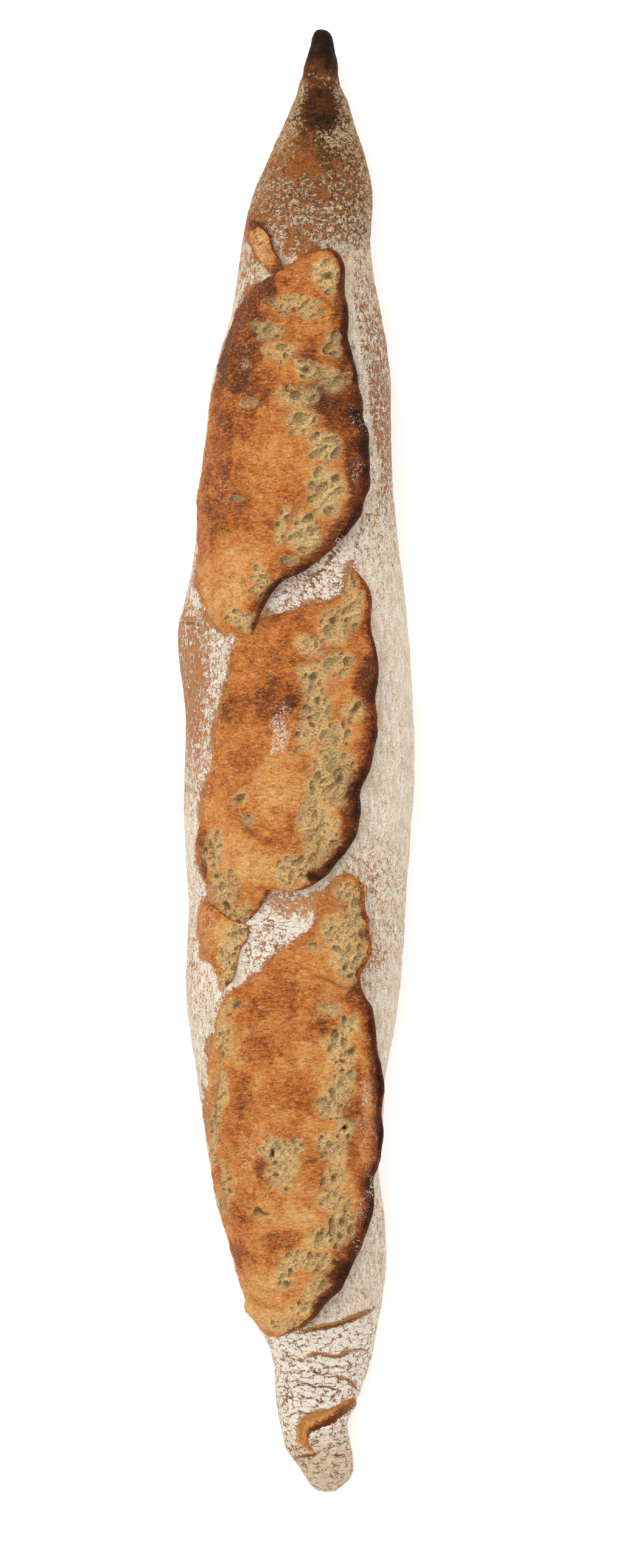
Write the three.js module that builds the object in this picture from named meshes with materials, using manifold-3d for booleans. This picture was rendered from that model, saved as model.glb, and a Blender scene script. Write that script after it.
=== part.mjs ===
import * as THREE from "three";
import { mergeVertices } from "three/addons/utils/BufferGeometryUtils.js";
import Module from "manifold-3d";

// A hand-shaped country baguette: one solid loaf with a drawn-out pointed end, a twisted blunt end and a flat
// underside. Three long scores have opened on top. Each is a swollen bloom whose seam melts into the crust on
// the left and whose lip, the ear, stands over the crust on the right.
// Millimetres, +Z up, +Y along the loaf to its pointed end. The origin is the middle of the underside.

// ---- driving dimensions ----
const loafLength = 500;
const equator = 0.42; // the widest level, as a share of the crown's height
const footDepth = 1.6; // how far the round underside is pressed flat by the baking stone
const upperRoundness = 2.15; // superellipse exponents of the section above and below the equator
const lowerRoundness = 2.7;
const pointedEndRadius = 3; // plan radius that closes the two ends
const bluntEndRadius = 12;
const endRoundness = 2.3; // superellipse exponent of both closings

// ---- shape of a bloom, in shares of its length (along) and of its width (across) ----
const openedAlong = 0.07; // fully risen from here
const closingAlong = 0.86; // and sinking again from here
const fullWidth = 12; // mm, narrower places rise less
const bulgeFullness = 0.7; // exponent, lower is fuller
const lipSteepness = 1.6; // exponent, higher keeps the lip closer to the rim
const leanFrom = 0.2; // across, where growth turns from square to the crust
const leanTo = 0.7; // to straight up
const seamSink = 0.4; // mm, how far the seam dives below the crust
const deepestRoot = 0.35; // across, the furthest that the lip may overhang
const lipWaver = 0.7; // mm, how far the lip's edge wavers in and out
const waverLength = 17; // mm from one wave to the next

// ---- mesh density ----
const coreSides = 44;
const coreRings = 70;
const endCrowding = 0.75; // 0 spaces the rings evenly, 1 crowds them at both ends
const bloomSpans = 30; // steps along a bloom
const bloomSteps = 7; // steps across its top
const slitSpans = 12;
const slitSteps = 4;
const creaseSides = 8;
const creaseSpans = 14;

// Plan of the crust at stations along Y: left edge, right edge, crown height, lift of the underside.
const stations = [
  { y: 250, left: 5.7, right: 11.8, crown: 14, lift: 7.8 },
  { y: 245, left: 4.9, right: 12.6, crown: 15.4, lift: 7.2 },
  { y: 238, left: 3.1, right: 13.9, crown: 17.4, lift: 5.8 },
  { y: 231, left: 0.8, right: 14.6, crown: 19.4, lift: 4.2 },
  { y: 225, left: -1.4, right: 17.4, crown: 21.6, lift: 3 },
  { y: 218, left: -4.1, right: 19.8, crown: 24, lift: 2 },
  { y: 201, left: -11.6, right: 25.1, crown: 30.5, lift: 0.4 },
  { y: 190, left: -15.6, right: 26.1, crown: 34.2, lift: 0 },
  { y: 176, left: -18.5, right: 25.4, crown: 37.4, lift: 0 },
  { y: 160, left: -20.9, right: 27.2, crown: 40.2, lift: 0 },
  { y: 132, left: -28.0, right: 32.2, crown: 43.8, lift: 0 },
  { y: 100, left: -31.9, right: 32.7, crown: 47.2, lift: 0 },
  { y: 60, left: -36.7, right: 36.8, crown: 49, lift: 0 },
  { y: 43, left: -40.3, right: 38.6, crown: 49, lift: 0 },
  { y: 18, left: -37.5, right: 40.1, crown: 49, lift: 0 },
  { y: -31, left: -38.2, right: 38.6, crown: 49, lift: 0 },
  { y: -50, left: -37.0, right: 37.5, crown: 48.5, lift: 0 },
  { y: -72, left: -37.6, right: 35.8, crown: 47.8, lift: 0 },
  { y: -118, left: -31.9, right: 29.7, crown: 45, lift: 0 },
  { y: -142, left: -28.9, right: 28.7, crown: 41.9, lift: 0 },
  { y: -156, left: -25.4, right: 30.7, crown: 39.5, lift: 0 },
  { y: -187, left: -16.3, right: 28.8, crown: 33.9, lift: 0 },
  { y: -203, left: -8.4, right: 25.8, crown: 29.4, lift: 0 },
  { y: -218, left: -6.7, right: 21.3, crown: 25.4, lift: 0.3 },
  { y: -227, left: -5.4, right: 17.6, crown: 23.3, lift: 0.7 },
  { y: -235, left: -3.4, right: 18.8, crown: 21.6, lift: 1.2 },
  { y: -243, left: 1.6, right: 19.9, crown: 20, lift: 1.8 },
  { y: -250, left: 2.6, right: 18.2, crown: 18, lift: 2.4 },
];

// Scores, from the pointed end to the blunt one. Seen from above, rim is the lip's outer edge and seam is the
// other side, each from its +Y end to its -Y end.
const blooms = [
  {
    lip: 6.2, bulge: 3.0, overhang: 3.2, lipThickness: 2.6, depth: 6,
    rim: [[7, 173.5], [15.8, 170], [16.4, 156], [23, 115], [24.6, 95], [15.6, 74.5], [-5.6, 60], [-16.5, 39]],
    seam: [[7, 173.5], [-16.8, 158.8], [-27.8, 128.5], [-33, 85], [-31.6, 54], [-16.5, 39]],
  },
  {
    lip: 5.4, bulge: 3.0, overhang: 2.8, lipThickness: 2.6, depth: 6,
    rim: [[18.6, 66.5], [25.3, 48.5], [27.6, 28], [24.8, -4], [20, -26], [9, -40], [-10, -44], [-18.4, -56.5]],
    seam: [[18.6, 66.5], [0.7, 51.5], [-20.5, 40], [-28.3, 3], [-34.2, -31.5], [-26.3, -51.5], [-18.4, -56.5]],
  },
  {
    lip: 6.2, bulge: 3.2, overhang: 3.2, lipThickness: 2.6, depth: 6,
    rim: [[14.6, -38], [24, -47], [23, -72], [29.4, -110], [27.6, -141], [17, -176.5], [3.6, -192.5], [-9, -198]],
    seam: [[14.6, -38], [4.6, -57], [-23, -79], [-30, -115], [-26, -151.5], [-16, -187], [-9, -198]],
  },
];

// Two short slits that opened beside the scores, made as small blooms.
const slits = [
  {
    lip: 0.6, bulge: 1.6, overhang: 0.4, lipThickness: 1.6, depth: 3.5,
    rim: [[-16, 184.5], [-9.6, 179.8], [-4.6, 168], [-5, 162.5]],
    seam: [[-16, 184.5], [-14.7, 174.5], [-5, 162.5]],
  },
  {
    lip: 0.8, bulge: 2.0, overhang: 0.4, lipThickness: 1.8, depth: 3.5,
    rim: [[-30.5, -48], [-16.4, -58], [-24.8, -78]],
    seam: [[-30.5, -48], [-31.4, -62], [-24.8, -78]],
  },
];

// Open creases in the twisted end: the route of each cut along the crust, its radius and its depth.
const creases = [
  { route: [[1, -193.8], [12, -191.6], [21, -189.2], [29.5, -185.6]], radius: 1.5, depth: 1.8 },
  { route: [[23, -217.5], [15, -221.8], [7.4, -225.4], [3.6, -229], [3.8, -235]], radius: 2.7, depth: 3.2 },
];

// ---- the crust's form ----

const clamp01 = (x) => Math.min(1, Math.max(0, x));

function smoothStep(from, to, x) {
  const t = clamp01((x - from) / (to - from));
  return t * t * (3 - 2 * t);
}

// A smooth curve through one column of the stations, as a function of y.
function stationCurve(key) {
  const ys = stations.map((s) => s.y);
  const values = stations.map((s) => s[key]);
  const last = ys.length - 1;
  const slopes = values.map((_, i) => {
    const a = Math.max(0, i - 1);
    const b = Math.min(last, i + 1);
    return (values[b] - values[a]) / (ys[b] - ys[a]);
  });
  return (y) => {
    let i = 0;
    while (i < last - 1 && y < ys[i + 1]) i++;
    const span = ys[i + 1] - ys[i];
    const t = clamp01((y - ys[i]) / span);
    const t2 = t * t;
    const t3 = t2 * t;
    return (2 * t3 - 3 * t2 + 1) * values[i] + (t3 - 2 * t2 + t) * span * slopes[i] +
      (3 * t2 - 2 * t3) * values[i + 1] + (t3 - t2) * span * slopes[i + 1];
  };
}

const leftEdge = stationCurve("left");
const rightEdge = stationCurve("right");
const crownAt = stationCurve("crown");
const liftAt = stationCurve("lift");

// 1 along the loaf, falling to 0 as a quarter round at each end.
function endRounding(y) {
  const half = loafLength / 2;
  const radius = y > 0 ? pointedEndRadius : bluntEndRadius;
  const into = Math.max(0, Math.abs(y) - (half - radius)) / radius;
  return Math.max(0, 1 - into ** endRoundness) ** (1 / endRoundness);
}

// The section at y: middle, half width, levels of top, equator and underside.
function sectionAt(y) {
  const close = endRounding(y);
  const lift = liftAt(y);
  const crown = crownAt(y);
  const widest = lift + (crown - lift) * equator;
  return {
    middle: (leftEdge(y) + rightEdge(y)) / 2,
    half: ((rightEdge(y) - leftEdge(y)) / 2) * close,
    top: widest + (crown - widest) * close,
    widest,
    bottom: widest - (widest - lift + footDepth) * close,
  };
}

const power = (x, p) => Math.sign(x) * Math.abs(x) ** p;

// The crust at y. The angle runs from the right (0) over the crown to the left (PI) and back underneath.
function crustPoint(angle, y) {
  const s = sectionAt(y);
  const c = Math.cos(angle);
  const k = Math.sin(angle);
  const exponent = 2 / (k >= 0 ? upperRoundness : lowerRoundness);
  const reach = k >= 0 ? s.top - s.widest : s.widest - s.bottom;
  const z = s.widest + reach * power(k, exponent);
  return new THREE.Vector3(s.middle + s.half * power(c, exponent), y, Math.max(0, z));
}

function crustNormal(angle, y) {
  const step = 1e-3;
  const along = crustPoint(angle, y + step).sub(crustPoint(angle, y - step));
  const round = crustPoint(angle + step, y).sub(crustPoint(angle - step, y));
  return along.cross(round).normalize();
}

// The angle of the upper crust that lies under the plan point (x, y).
function angleOver(x, y) {
  const s = sectionAt(y);
  const share = THREE.MathUtils.clamp((x - s.middle) / s.half, -1, 1);
  return Math.acos(power(share, upperRoundness / 2));
}

// ---- solids ----

const wasm = await Module();
wasm.setup();

function solidFrom(geometry) {
  const bare = geometry.clone();
  bare.deleteAttribute("normal");
  bare.deleteAttribute("uv");
  const merged = mergeVertices(bare, 1e-4);
  return new wasm.Manifold(new wasm.Mesh({
    numProp: 3,
    vertProperties: new Float32Array(merged.attributes.position.array),
    triVerts: new Uint32Array(merged.index.array),
  }));
}

function geometryFrom(solid) {
  const mesh = solid.getMesh();
  const geometry = new THREE.BufferGeometry();
  geometry.setAttribute("position", new THREE.BufferAttribute(mesh.vertProperties, 3));
  geometry.setIndex(new THREE.BufferAttribute(mesh.triVerts, 1));
  geometry.computeVertexNormals();
  return geometry;
}

// The whole crust without its blooms: a sphere whose poles lie on Y, drawn out to the sections.
function crustGeometry() {
  const geometry = new THREE.SphereGeometry(1, coreSides, coreRings);
  const position = geometry.attributes.position;
  for (let i = 0; i < position.count; i++) {
    const polar = Math.acos(THREE.MathUtils.clamp(position.getY(i), -1, 1));
    const even = 1 - (2 * polar) / Math.PI;
    const y = (loafLength / 2) * ((1 - endCrowding) * even + endCrowding * Math.cos(polar));
    const angle = Math.atan2(position.getZ(i), position.getX(i));
    const p = crustPoint(angle, y);
    position.setXYZ(i, p.x, p.y, p.z);
  }
  return geometry;
}

// A closed solid through rings of equally many points, drawn to a point at each end.
function loftedSolid(start, rings, end) {
  const points = [start, ...rings.flat(), end];
  const sides = rings[0].length;
  const faces = [];
  const at = (ring, side) => 1 + ring * sides + (side % sides);
  for (let side = 0; side < sides; side++) {
    faces.push(0, at(0, side), at(0, side + 1));
    for (let ring = 0; ring + 1 < rings.length; ring++) {
      faces.push(at(ring, side), at(ring + 1, side + 1), at(ring, side + 1));
      faces.push(at(ring, side), at(ring + 1, side), at(ring + 1, side + 1));
    }
    faces.push(at(rings.length - 1, side), points.length - 1, at(rings.length - 1, side + 1));
  }
  const geometry = new THREE.BufferGeometry().setFromPoints(points);
  geometry.setIndex(faces);
  return solidFrom(geometry);
}

const planCurve = (route) =>
  new THREE.CatmullRomCurve3(route.map(([x, y]) => new THREE.Vector3(x, y, 0)), false, "centripetal");

// One section across a bloom at share u of its length: down at the seam, over the top, back under the lip.
function bloomRing(bloom, rimCurve, seamCurve, u, steps) {
  const rim = rimCurve.getPointAt(u);
  const seam = seamCurve.getPointAt(u);
  const width = rim.distanceTo(seam);
  const outward = rim.clone().sub(seam).normalize();
  const waver = lipWaver * Math.sin((2 * Math.PI * rim.y) / waverLength);
  rim.addScaledVector(outward, waver * clamp01(width / fullWidth));
  const open =
    smoothStep(0, openedAlong, u) * (1 - smoothStep(closingAlong, 1, u)) * clamp01(width / fullWidth);
  const rise = (v) =>
    open * (bloom.bulge * Math.sin(Math.PI * v) ** bulgeFullness + bloom.lip * v ** lipSteepness);
  const reach = open * Math.min(bloom.overhang, width * deepestRoot);
  const foot = rim.clone().addScaledVector(outward, -reach);
  const footAngle = angleOver(foot.x, foot.y);
  const seamAngle = angleOver(seam.x, seam.y);
  const grown = (v, out, lean) => {
    const angle = THREE.MathUtils.lerp(seamAngle, footAngle, v);
    const y = THREE.MathUtils.lerp(seam.y, foot.y, v);
    const up = new THREE.Vector3(0, 0, 1);
    const direction = crustNormal(angle, y).lerp(up, smoothStep(leanFrom, leanTo, v)).normalize();
    return crustPoint(angle, y).addScaledVector(direction, out).addScaledVector(outward, lean * reach);
  };
  const lipUnderside = rise(1) - bloom.lipThickness * open;
  const ring = [grown(0, -bloom.depth, 0), grown(0, -seamSink, 0)];
  for (let i = 1; i <= steps; i++) {
    const v = i / steps;
    ring.push(grown(v, rise(v), v * v));
  }
  ring.push(grown(1, lipUnderside, 0.9), grown(1, lipUnderside * 0.3, 0), grown(1, -bloom.depth, 0));
  return ring;
}

function bloomSolid(bloom, spans, steps) {
  const rimCurve = planCurve(bloom.rim);
  const seamCurve = planCurve(bloom.seam);
  const rings = [];
  for (let i = 1; i < spans; i++) rings.push(bloomRing(bloom, rimCurve, seamCurve, i / spans, steps));
  const buried = ([x, y]) => crustPoint(angleOver(x, y), y).add(new THREE.Vector3(0, 0, -bloom.depth / 2));
  return loftedSolid(buried(bloom.rim[0]), rings, buried(bloom.rim.at(-1)));
}

// A round-bottomed cut that follows the crust along a route.
function creaseSolid(crease) {
  const centres = crease.route.map(([x, y]) => {
    const angle = angleOver(x, y);
    return crustPoint(angle, y).addScaledVector(crustNormal(angle, y), crease.radius - crease.depth);
  });
  const section = new THREE.Shape().absarc(0, 0, crease.radius, 0, 2 * Math.PI);
  return solidFrom(new THREE.ExtrudeGeometry(section, {
    steps: creaseSpans,
    curveSegments: creaseSides,
    bevelEnabled: false,
    extrudePath: new THREE.CatmullRomCurve3(centres, false, "centripetal"),
  }));
}

let loaf = solidFrom(crustGeometry());
for (const bloom of blooms) loaf = loaf.add(bloomSolid(bloom, bloomSpans, bloomSteps));
for (const slit of slits) loaf = loaf.add(bloomSolid(slit, slitSpans, slitSteps));
for (const crease of creases) loaf = loaf.subtract(creaseSolid(crease));
// Slivers of air sealed between a lip and the crust come out as shells of negative volume. They are filled.
loaf = wasm.Manifold.compose(loaf.decompose().filter((shell) => shell.volume() > 0));

const crustMaterial = new THREE.MeshStandardMaterial({ color: 0xc8874a, roughness: 0.8, metalness: 0 });
const loafMesh = new THREE.Mesh(geometryFrom(loaf), crustMaterial);
loafMesh.name = "loaf";

const baguette = new THREE.Group();
baguette.add(loafMesh);

export default baguette;
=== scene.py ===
import math
from types import SimpleNamespace

import bpy
import numpy as np
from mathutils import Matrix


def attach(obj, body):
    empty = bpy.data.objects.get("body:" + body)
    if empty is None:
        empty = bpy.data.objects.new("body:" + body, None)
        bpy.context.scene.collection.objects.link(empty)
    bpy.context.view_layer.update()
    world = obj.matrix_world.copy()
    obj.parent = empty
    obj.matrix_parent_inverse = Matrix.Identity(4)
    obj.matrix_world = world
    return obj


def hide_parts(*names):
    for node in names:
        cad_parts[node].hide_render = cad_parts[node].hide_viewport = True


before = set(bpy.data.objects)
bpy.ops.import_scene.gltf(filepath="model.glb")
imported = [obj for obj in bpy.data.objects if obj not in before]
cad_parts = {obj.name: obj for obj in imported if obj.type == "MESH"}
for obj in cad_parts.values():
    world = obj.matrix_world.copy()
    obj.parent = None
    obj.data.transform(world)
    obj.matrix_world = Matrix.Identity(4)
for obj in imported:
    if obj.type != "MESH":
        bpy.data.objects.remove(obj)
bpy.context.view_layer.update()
bpy.ops.object.select_all(action="DESELECT")
mm = 0.001

hashPrimes = (73856093, 19349663, 83492791)
hashSize = 4096

# Smooth random fields and small curve helpers, all in millimetres.


def softNoise(points, grain, seed):
    # one smooth lump per grain, from -1 to 1; grain may differ along x, y and z
    table = np.random.default_rng(seed).uniform(-1, 1, hashSize)
    a, b, c = hashPrimes
    q = np.asarray(points) / np.asarray(grain)
    corner = np.floor(q).astype(np.int64)
    f = q - corner
    f = f * f * f * (f * (f * 6 - 15) + 10)
    total = np.zeros(q.shape[:-1])
    for i in (0, 1):
        for j in (0, 1):
            for k in (0, 1):
                cell = corner + (i, j, k)
                key = (cell[..., 0] * a) ^ (cell[..., 1] * b) ^ (cell[..., 2] * c)
                share = (f[..., 0] if i else 1 - f[..., 0]) * (f[..., 1] if j else 1 - f[..., 1])
                share = share * (f[..., 2] if k else 1 - f[..., 2])
                total += share * table[key & (hashSize - 1)]
    return total


def layeredNoise(points, grain, seed, layers=3):
    total = 0
    size = np.asarray(grain, dtype=float)
    for layer in range(layers):
        total = total + softNoise(points, size, seed + layer) * 0.55**layer
        size = size * 0.5
    return total


def smoothStep(low, high, x):
    t = np.clip((x - low) / (high - low), 0, 1)
    return t * t * (3 - 2 * t)


def mix(a, b, t):
    return a + (b - a) * t


def hermite(knots, values, x):
    # a smooth curve through values at rising knots
    slopes = np.gradient(values, knots) if len(knots) > 2 else np.zeros(len(knots))
    i = np.clip(np.searchsorted(knots, x) - 1, 0, len(knots) - 2)
    span = knots[i + 1] - knots[i]
    t = np.clip((x - knots[i]) / span, 0, 1)
    return (
        (2 * t**3 - 3 * t**2 + 1) * values[i]
        + (t**3 - 2 * t**2 + t) * span * slopes[i]
        + (3 * t**2 - 2 * t**3) * values[i + 1]
        + (t**3 - t**2) * span * slopes[i + 1]
    )


def alongRoute(route, shares):
    # points at even shares of a rounded route through the given plan points
    route = np.array(route, dtype=float)
    steps = np.hypot(*np.diff(route, axis=0).T)
    at = np.concatenate([[0], np.cumsum(steps)])
    fine = np.linspace(0, at[-1], 800)
    x = hermite(at, route[:, 0], fine)
    y = hermite(at, route[:, 1], fine)
    length = np.concatenate([[0], np.cumsum(np.hypot(np.diff(x), np.diff(y)))])
    wanted = shares * length[-1]
    return np.stack([np.interp(wanted, length, x), np.interp(wanted, length, y)], -1)


def nearRoute(x, y, route, spacing=1.0):
    # distance to a route, which side of it, and how far along it from 0 to 1
    steps = max(8, int(np.sum(np.hypot(*np.diff(np.array(route, float), axis=0).T)) / spacing))
    dots = alongRoute(route, np.linspace(0, 1, steps + 1))
    best = np.full(x.shape, 1e9)
    side = np.zeros(x.shape)
    share = np.zeros(x.shape)
    for k in range(steps):
        ax, ay = dots[k]
        bx, by = dots[k + 1]
        dx, dy = bx - ax, by - ay
        t = np.clip(((x - ax) * dx + (y - ay) * dy) / (dx * dx + dy * dy + 1e-9), 0, 1)
        ox, oy = x - (ax + t * dx), y - (ay + t * dy)
        d = np.hypot(ox, oy)
        closer = d < best
        best = np.where(closer, d, best)
        side = np.where(closer, np.sign(dx * oy - dy * ox), side)
        share = np.where(closer, (k + t) / steps, share)
    return best, side, share


def tapered(share):
    # a width that tapers towards both ends of a route
    return np.sqrt(np.clip(np.sin(math.pi * np.clip(share, 0.02, 0.98)), 0, 1))


def strongest(x, y, spots, softness=1.0):
    # the strongest of a list of oval patches (x, y, half width, half length, strength) at each place
    out = np.zeros(x.shape)
    for sx, sy, rx, ry, strength in spots:
        d = np.hypot((x - sx) / rx, (y - sy) / ry)
        out = np.maximum(out, strength * smoothStep(1 + 0.45 * softness, 1 - 0.45 * softness, d))
    return out


def blended(x, y, base, zones):
    # a value that leaves its base inside soft oval zones (x, y, half width, half length, value)
    weight = np.full(x.shape, 0.35)
    total = weight * base
    for zx, zy, rx, ry, value in zones:
        w = np.exp(-(((x - zx) / rx) ** 2) - ((y - zy) / ry) ** 2) * 2
        weight = weight + w
        total = total + w * value
    return total / weight


# The crust's form.

crust = {
    "halfLength": 250.0,
    "equator": 0.42,  # widest level as a share of the height
    "footDepth": 1.6,  # how far the underside is pressed flat
    "upperRoundness": 2.15,
    "lowerRoundness": 2.7,
    "pointedEnd": 4.8,
    "bluntEnd": 12.0,
    "endRoundness": 2.3,
    "segments": 160,
    "rings": 600,
    "topShare": 0.78,  # share of the segments that lie on the upper side
    "topReach": 0.12,  # half turns that the upper side reaches below the equator
    "endCrowding": 0.45,
    # lumps, wrinkles along the loaf and grains: height, size, seed, layers
    "relief": [(0.55, (18.0, 30.0, 18.0), 321, 3), (0.22, (3.2, 16.0, 3.2), 331, 2), (0.12, 2.4, 341, 2)],
    # y, left edge, right edge, crown height, lift of the underside
    "stations": [
        (-250, 2.6, 18.2, 18, 2.4), (-243, 1.6, 19.9, 20, 1.8), (-235, -3.4, 18.8, 21.6, 1.2),
        (-227, -5.4, 17.6, 23.3, 0.7), (-218, -6.7, 21.3, 25.4, 0.3), (-203, -8.4, 25.8, 29.4, 0),
        (-187, -16.3, 28.8, 33.9, 0), (-156, -25.4, 30.7, 39.5, 0), (-142, -28.9, 28.7, 41.9, 0),
        (-118, -31.9, 29.7, 45, 0), (-72, -37.6, 35.8, 47.8, 0), (-50, -37.0, 37.5, 48.5, 0),
        (-31, -38.2, 38.6, 49, 0), (18, -37.5, 40.1, 49, 0), (43, -40.3, 38.6, 49, 0),
        (60, -36.7, 36.8, 49, 0), (100, -31.9, 32.7, 47.2, 0), (132, -28.0, 32.2, 43.8, 0),
        (160, -20.9, 27.2, 40.2, 0), (176, -18.5, 25.4, 37.4, 0), (190, -15.6, 26.1, 34.2, 0),
        (201, -11.6, 25.1, 30.5, 0.4), (218, -4.1, 19.8, 24, 2), (225, -1.4, 17.4, 21.6, 3),
        (231, 0.8, 14.6, 19.4, 4.2), (238, 3.1, 13.9, 17.4, 5.8), (245, 4.9, 12.6, 15.4, 7.2),
        (250, 5.7, 11.8, 14, 7.8),
    ],
}
stations = np.array(crust["stations"], dtype=float).T


def sectionAt(y):
    left, right, crown, lift = (hermite(stations[0], column, y) for column in stations[1:])
    radius = np.where(y > 0, crust["pointedEnd"], crust["bluntEnd"])
    into = np.clip((np.abs(y) - (crust["halfLength"] - radius)) / radius, 0, 1)
    close = (1 - into ** crust["endRoundness"]) ** (1 / crust["endRoundness"])
    widest = lift + (crown - lift) * crust["equator"]
    over = (crown - widest) * close
    under = (widest - lift + crust["footDepth"]) * close
    return (left + right) / 2, (right - left) / 2 * close, widest, over, under


def signedPower(x, p):
    return np.sign(x) * np.abs(x) ** p


def crustPoint(angle, y):
    # angle 0 is the right side, a quarter turn the crown, half a turn the left side
    middle, half, widest, over, under = sectionAt(y)
    c, s = np.cos(angle), np.sin(angle)
    p = 2 / np.where(s >= 0, crust["upperRoundness"], crust["lowerRoundness"])
    x = middle + half * signedPower(c, p)
    z = widest + np.where(s >= 0, over, under) * signedPower(s, p)
    return np.stack([x, y + 0 * x, np.maximum(z, 0)], -1)


def crustNormal(angle, y):
    e = 1e-3
    along = crustPoint(angle, y + e) - crustPoint(angle, y - e)
    turn = crustPoint(angle + e, y) - crustPoint(angle - e, y)
    n = np.cross(along, turn)
    return n / np.maximum(np.linalg.norm(n, axis=-1, keepdims=True), 1e-12)


def angleOver(x, y):
    middle, half, *_ = sectionAt(y)
    share = np.clip((x - middle) / half, -1, 1)
    return np.arccos(signedPower(share, crust["upperRoundness"] / 2))


def setPlaces(piece, points):
    piece.data.vertices.foreach_set("co", (points * mm).astype(np.float32).ravel())
    piece.data.update()


def getPlaces(piece):
    co = np.empty(len(piece.data.vertices) * 3, np.float32)
    piece.data.vertices.foreach_get("co", co)
    return co.reshape(-1, 3).astype(float)


def tag(piece, name, values):
    # a painted value at every vertex, which the finish reads by its name
    layer = piece.data.attributes.new(name, "FLOAT", "POINT")
    layer.data.foreach_set("value", np.clip(values, 0, 4).astype(np.float32).ravel())


def insideOut(piece):
    # a closed form whose faces look inwards has a negative volume
    piece.data.calc_loop_triangles()
    corners = np.empty(len(piece.data.loop_triangles) * 3, dtype=np.int32)
    piece.data.loop_triangles.foreach_get("vertices", corners)
    a, b, c = getPlaces(piece)[corners.reshape(-1, 3)].transpose(1, 0, 2)
    return np.sum(a * np.cross(b, c)) < 0


def closeAndSmooth(piece, gap):
    bpy.ops.object.select_all(action="DESELECT")
    bpy.context.view_layer.objects.active = piece
    piece.select_set(True)
    bpy.ops.object.mode_set(mode="EDIT")
    bpy.ops.mesh.select_all(action="SELECT")
    bpy.ops.mesh.remove_doubles(threshold=gap)
    bpy.ops.mesh.normals_make_consistent(inside=False)
    bpy.ops.object.mode_set(mode="OBJECT")
    if insideOut(piece):
        bpy.ops.object.mode_set(mode="EDIT")
        bpy.ops.mesh.flip_normals()
        bpy.ops.object.mode_set(mode="OBJECT")
    bpy.ops.object.shade_smooth()
    piece.select_set(False)


# The three opened scores and the two slits.

bloomShape = {
    "depth": 6.0,  # how far a bloom's roots reach into the loaf
    "seamSink": 0.7,
    "lipThickness": 2.6,
    "noseLength": 1.3,
    "leanFrom": 0.2,
    "leanTo": 0.7,
    "fullWidth": 12.0,  # the width from which a bloom has its full height
    "openFrom": 0.06,  # shares of the length where it has opened and starts to close
    "closeFrom": 0.9,
    "overhangShare": 0.35,
    "hollowLeft": 0.25,
    "lipLumps": 0.35,
    "lipCurl": 1.6,
    "swellReach": 0.985,
    "swellRoundness": 0.8,
    "waver": 1.0,
    "seamWaver": 0.25,
    "warpSize": 8.0,
    "warpReach": 2.2,
    "lumpSize": 15.0,
    "lumpHeight": 0.95,
    "rippleSize": (6.0, 1.5, 5.0),
    "rippleHeight": 0.28,
    "pebbleSize": 1.5,
    "pebbleHeight": 0.1,
    "noseLumps": 0.2,
    "crumbSink": 0.45,
    "rows": 500,
    "topColumns": 165,
    "noseColumns": 9,
    "hollowColumns": 5,
    "lipCrowding": 1.25,
}

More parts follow.
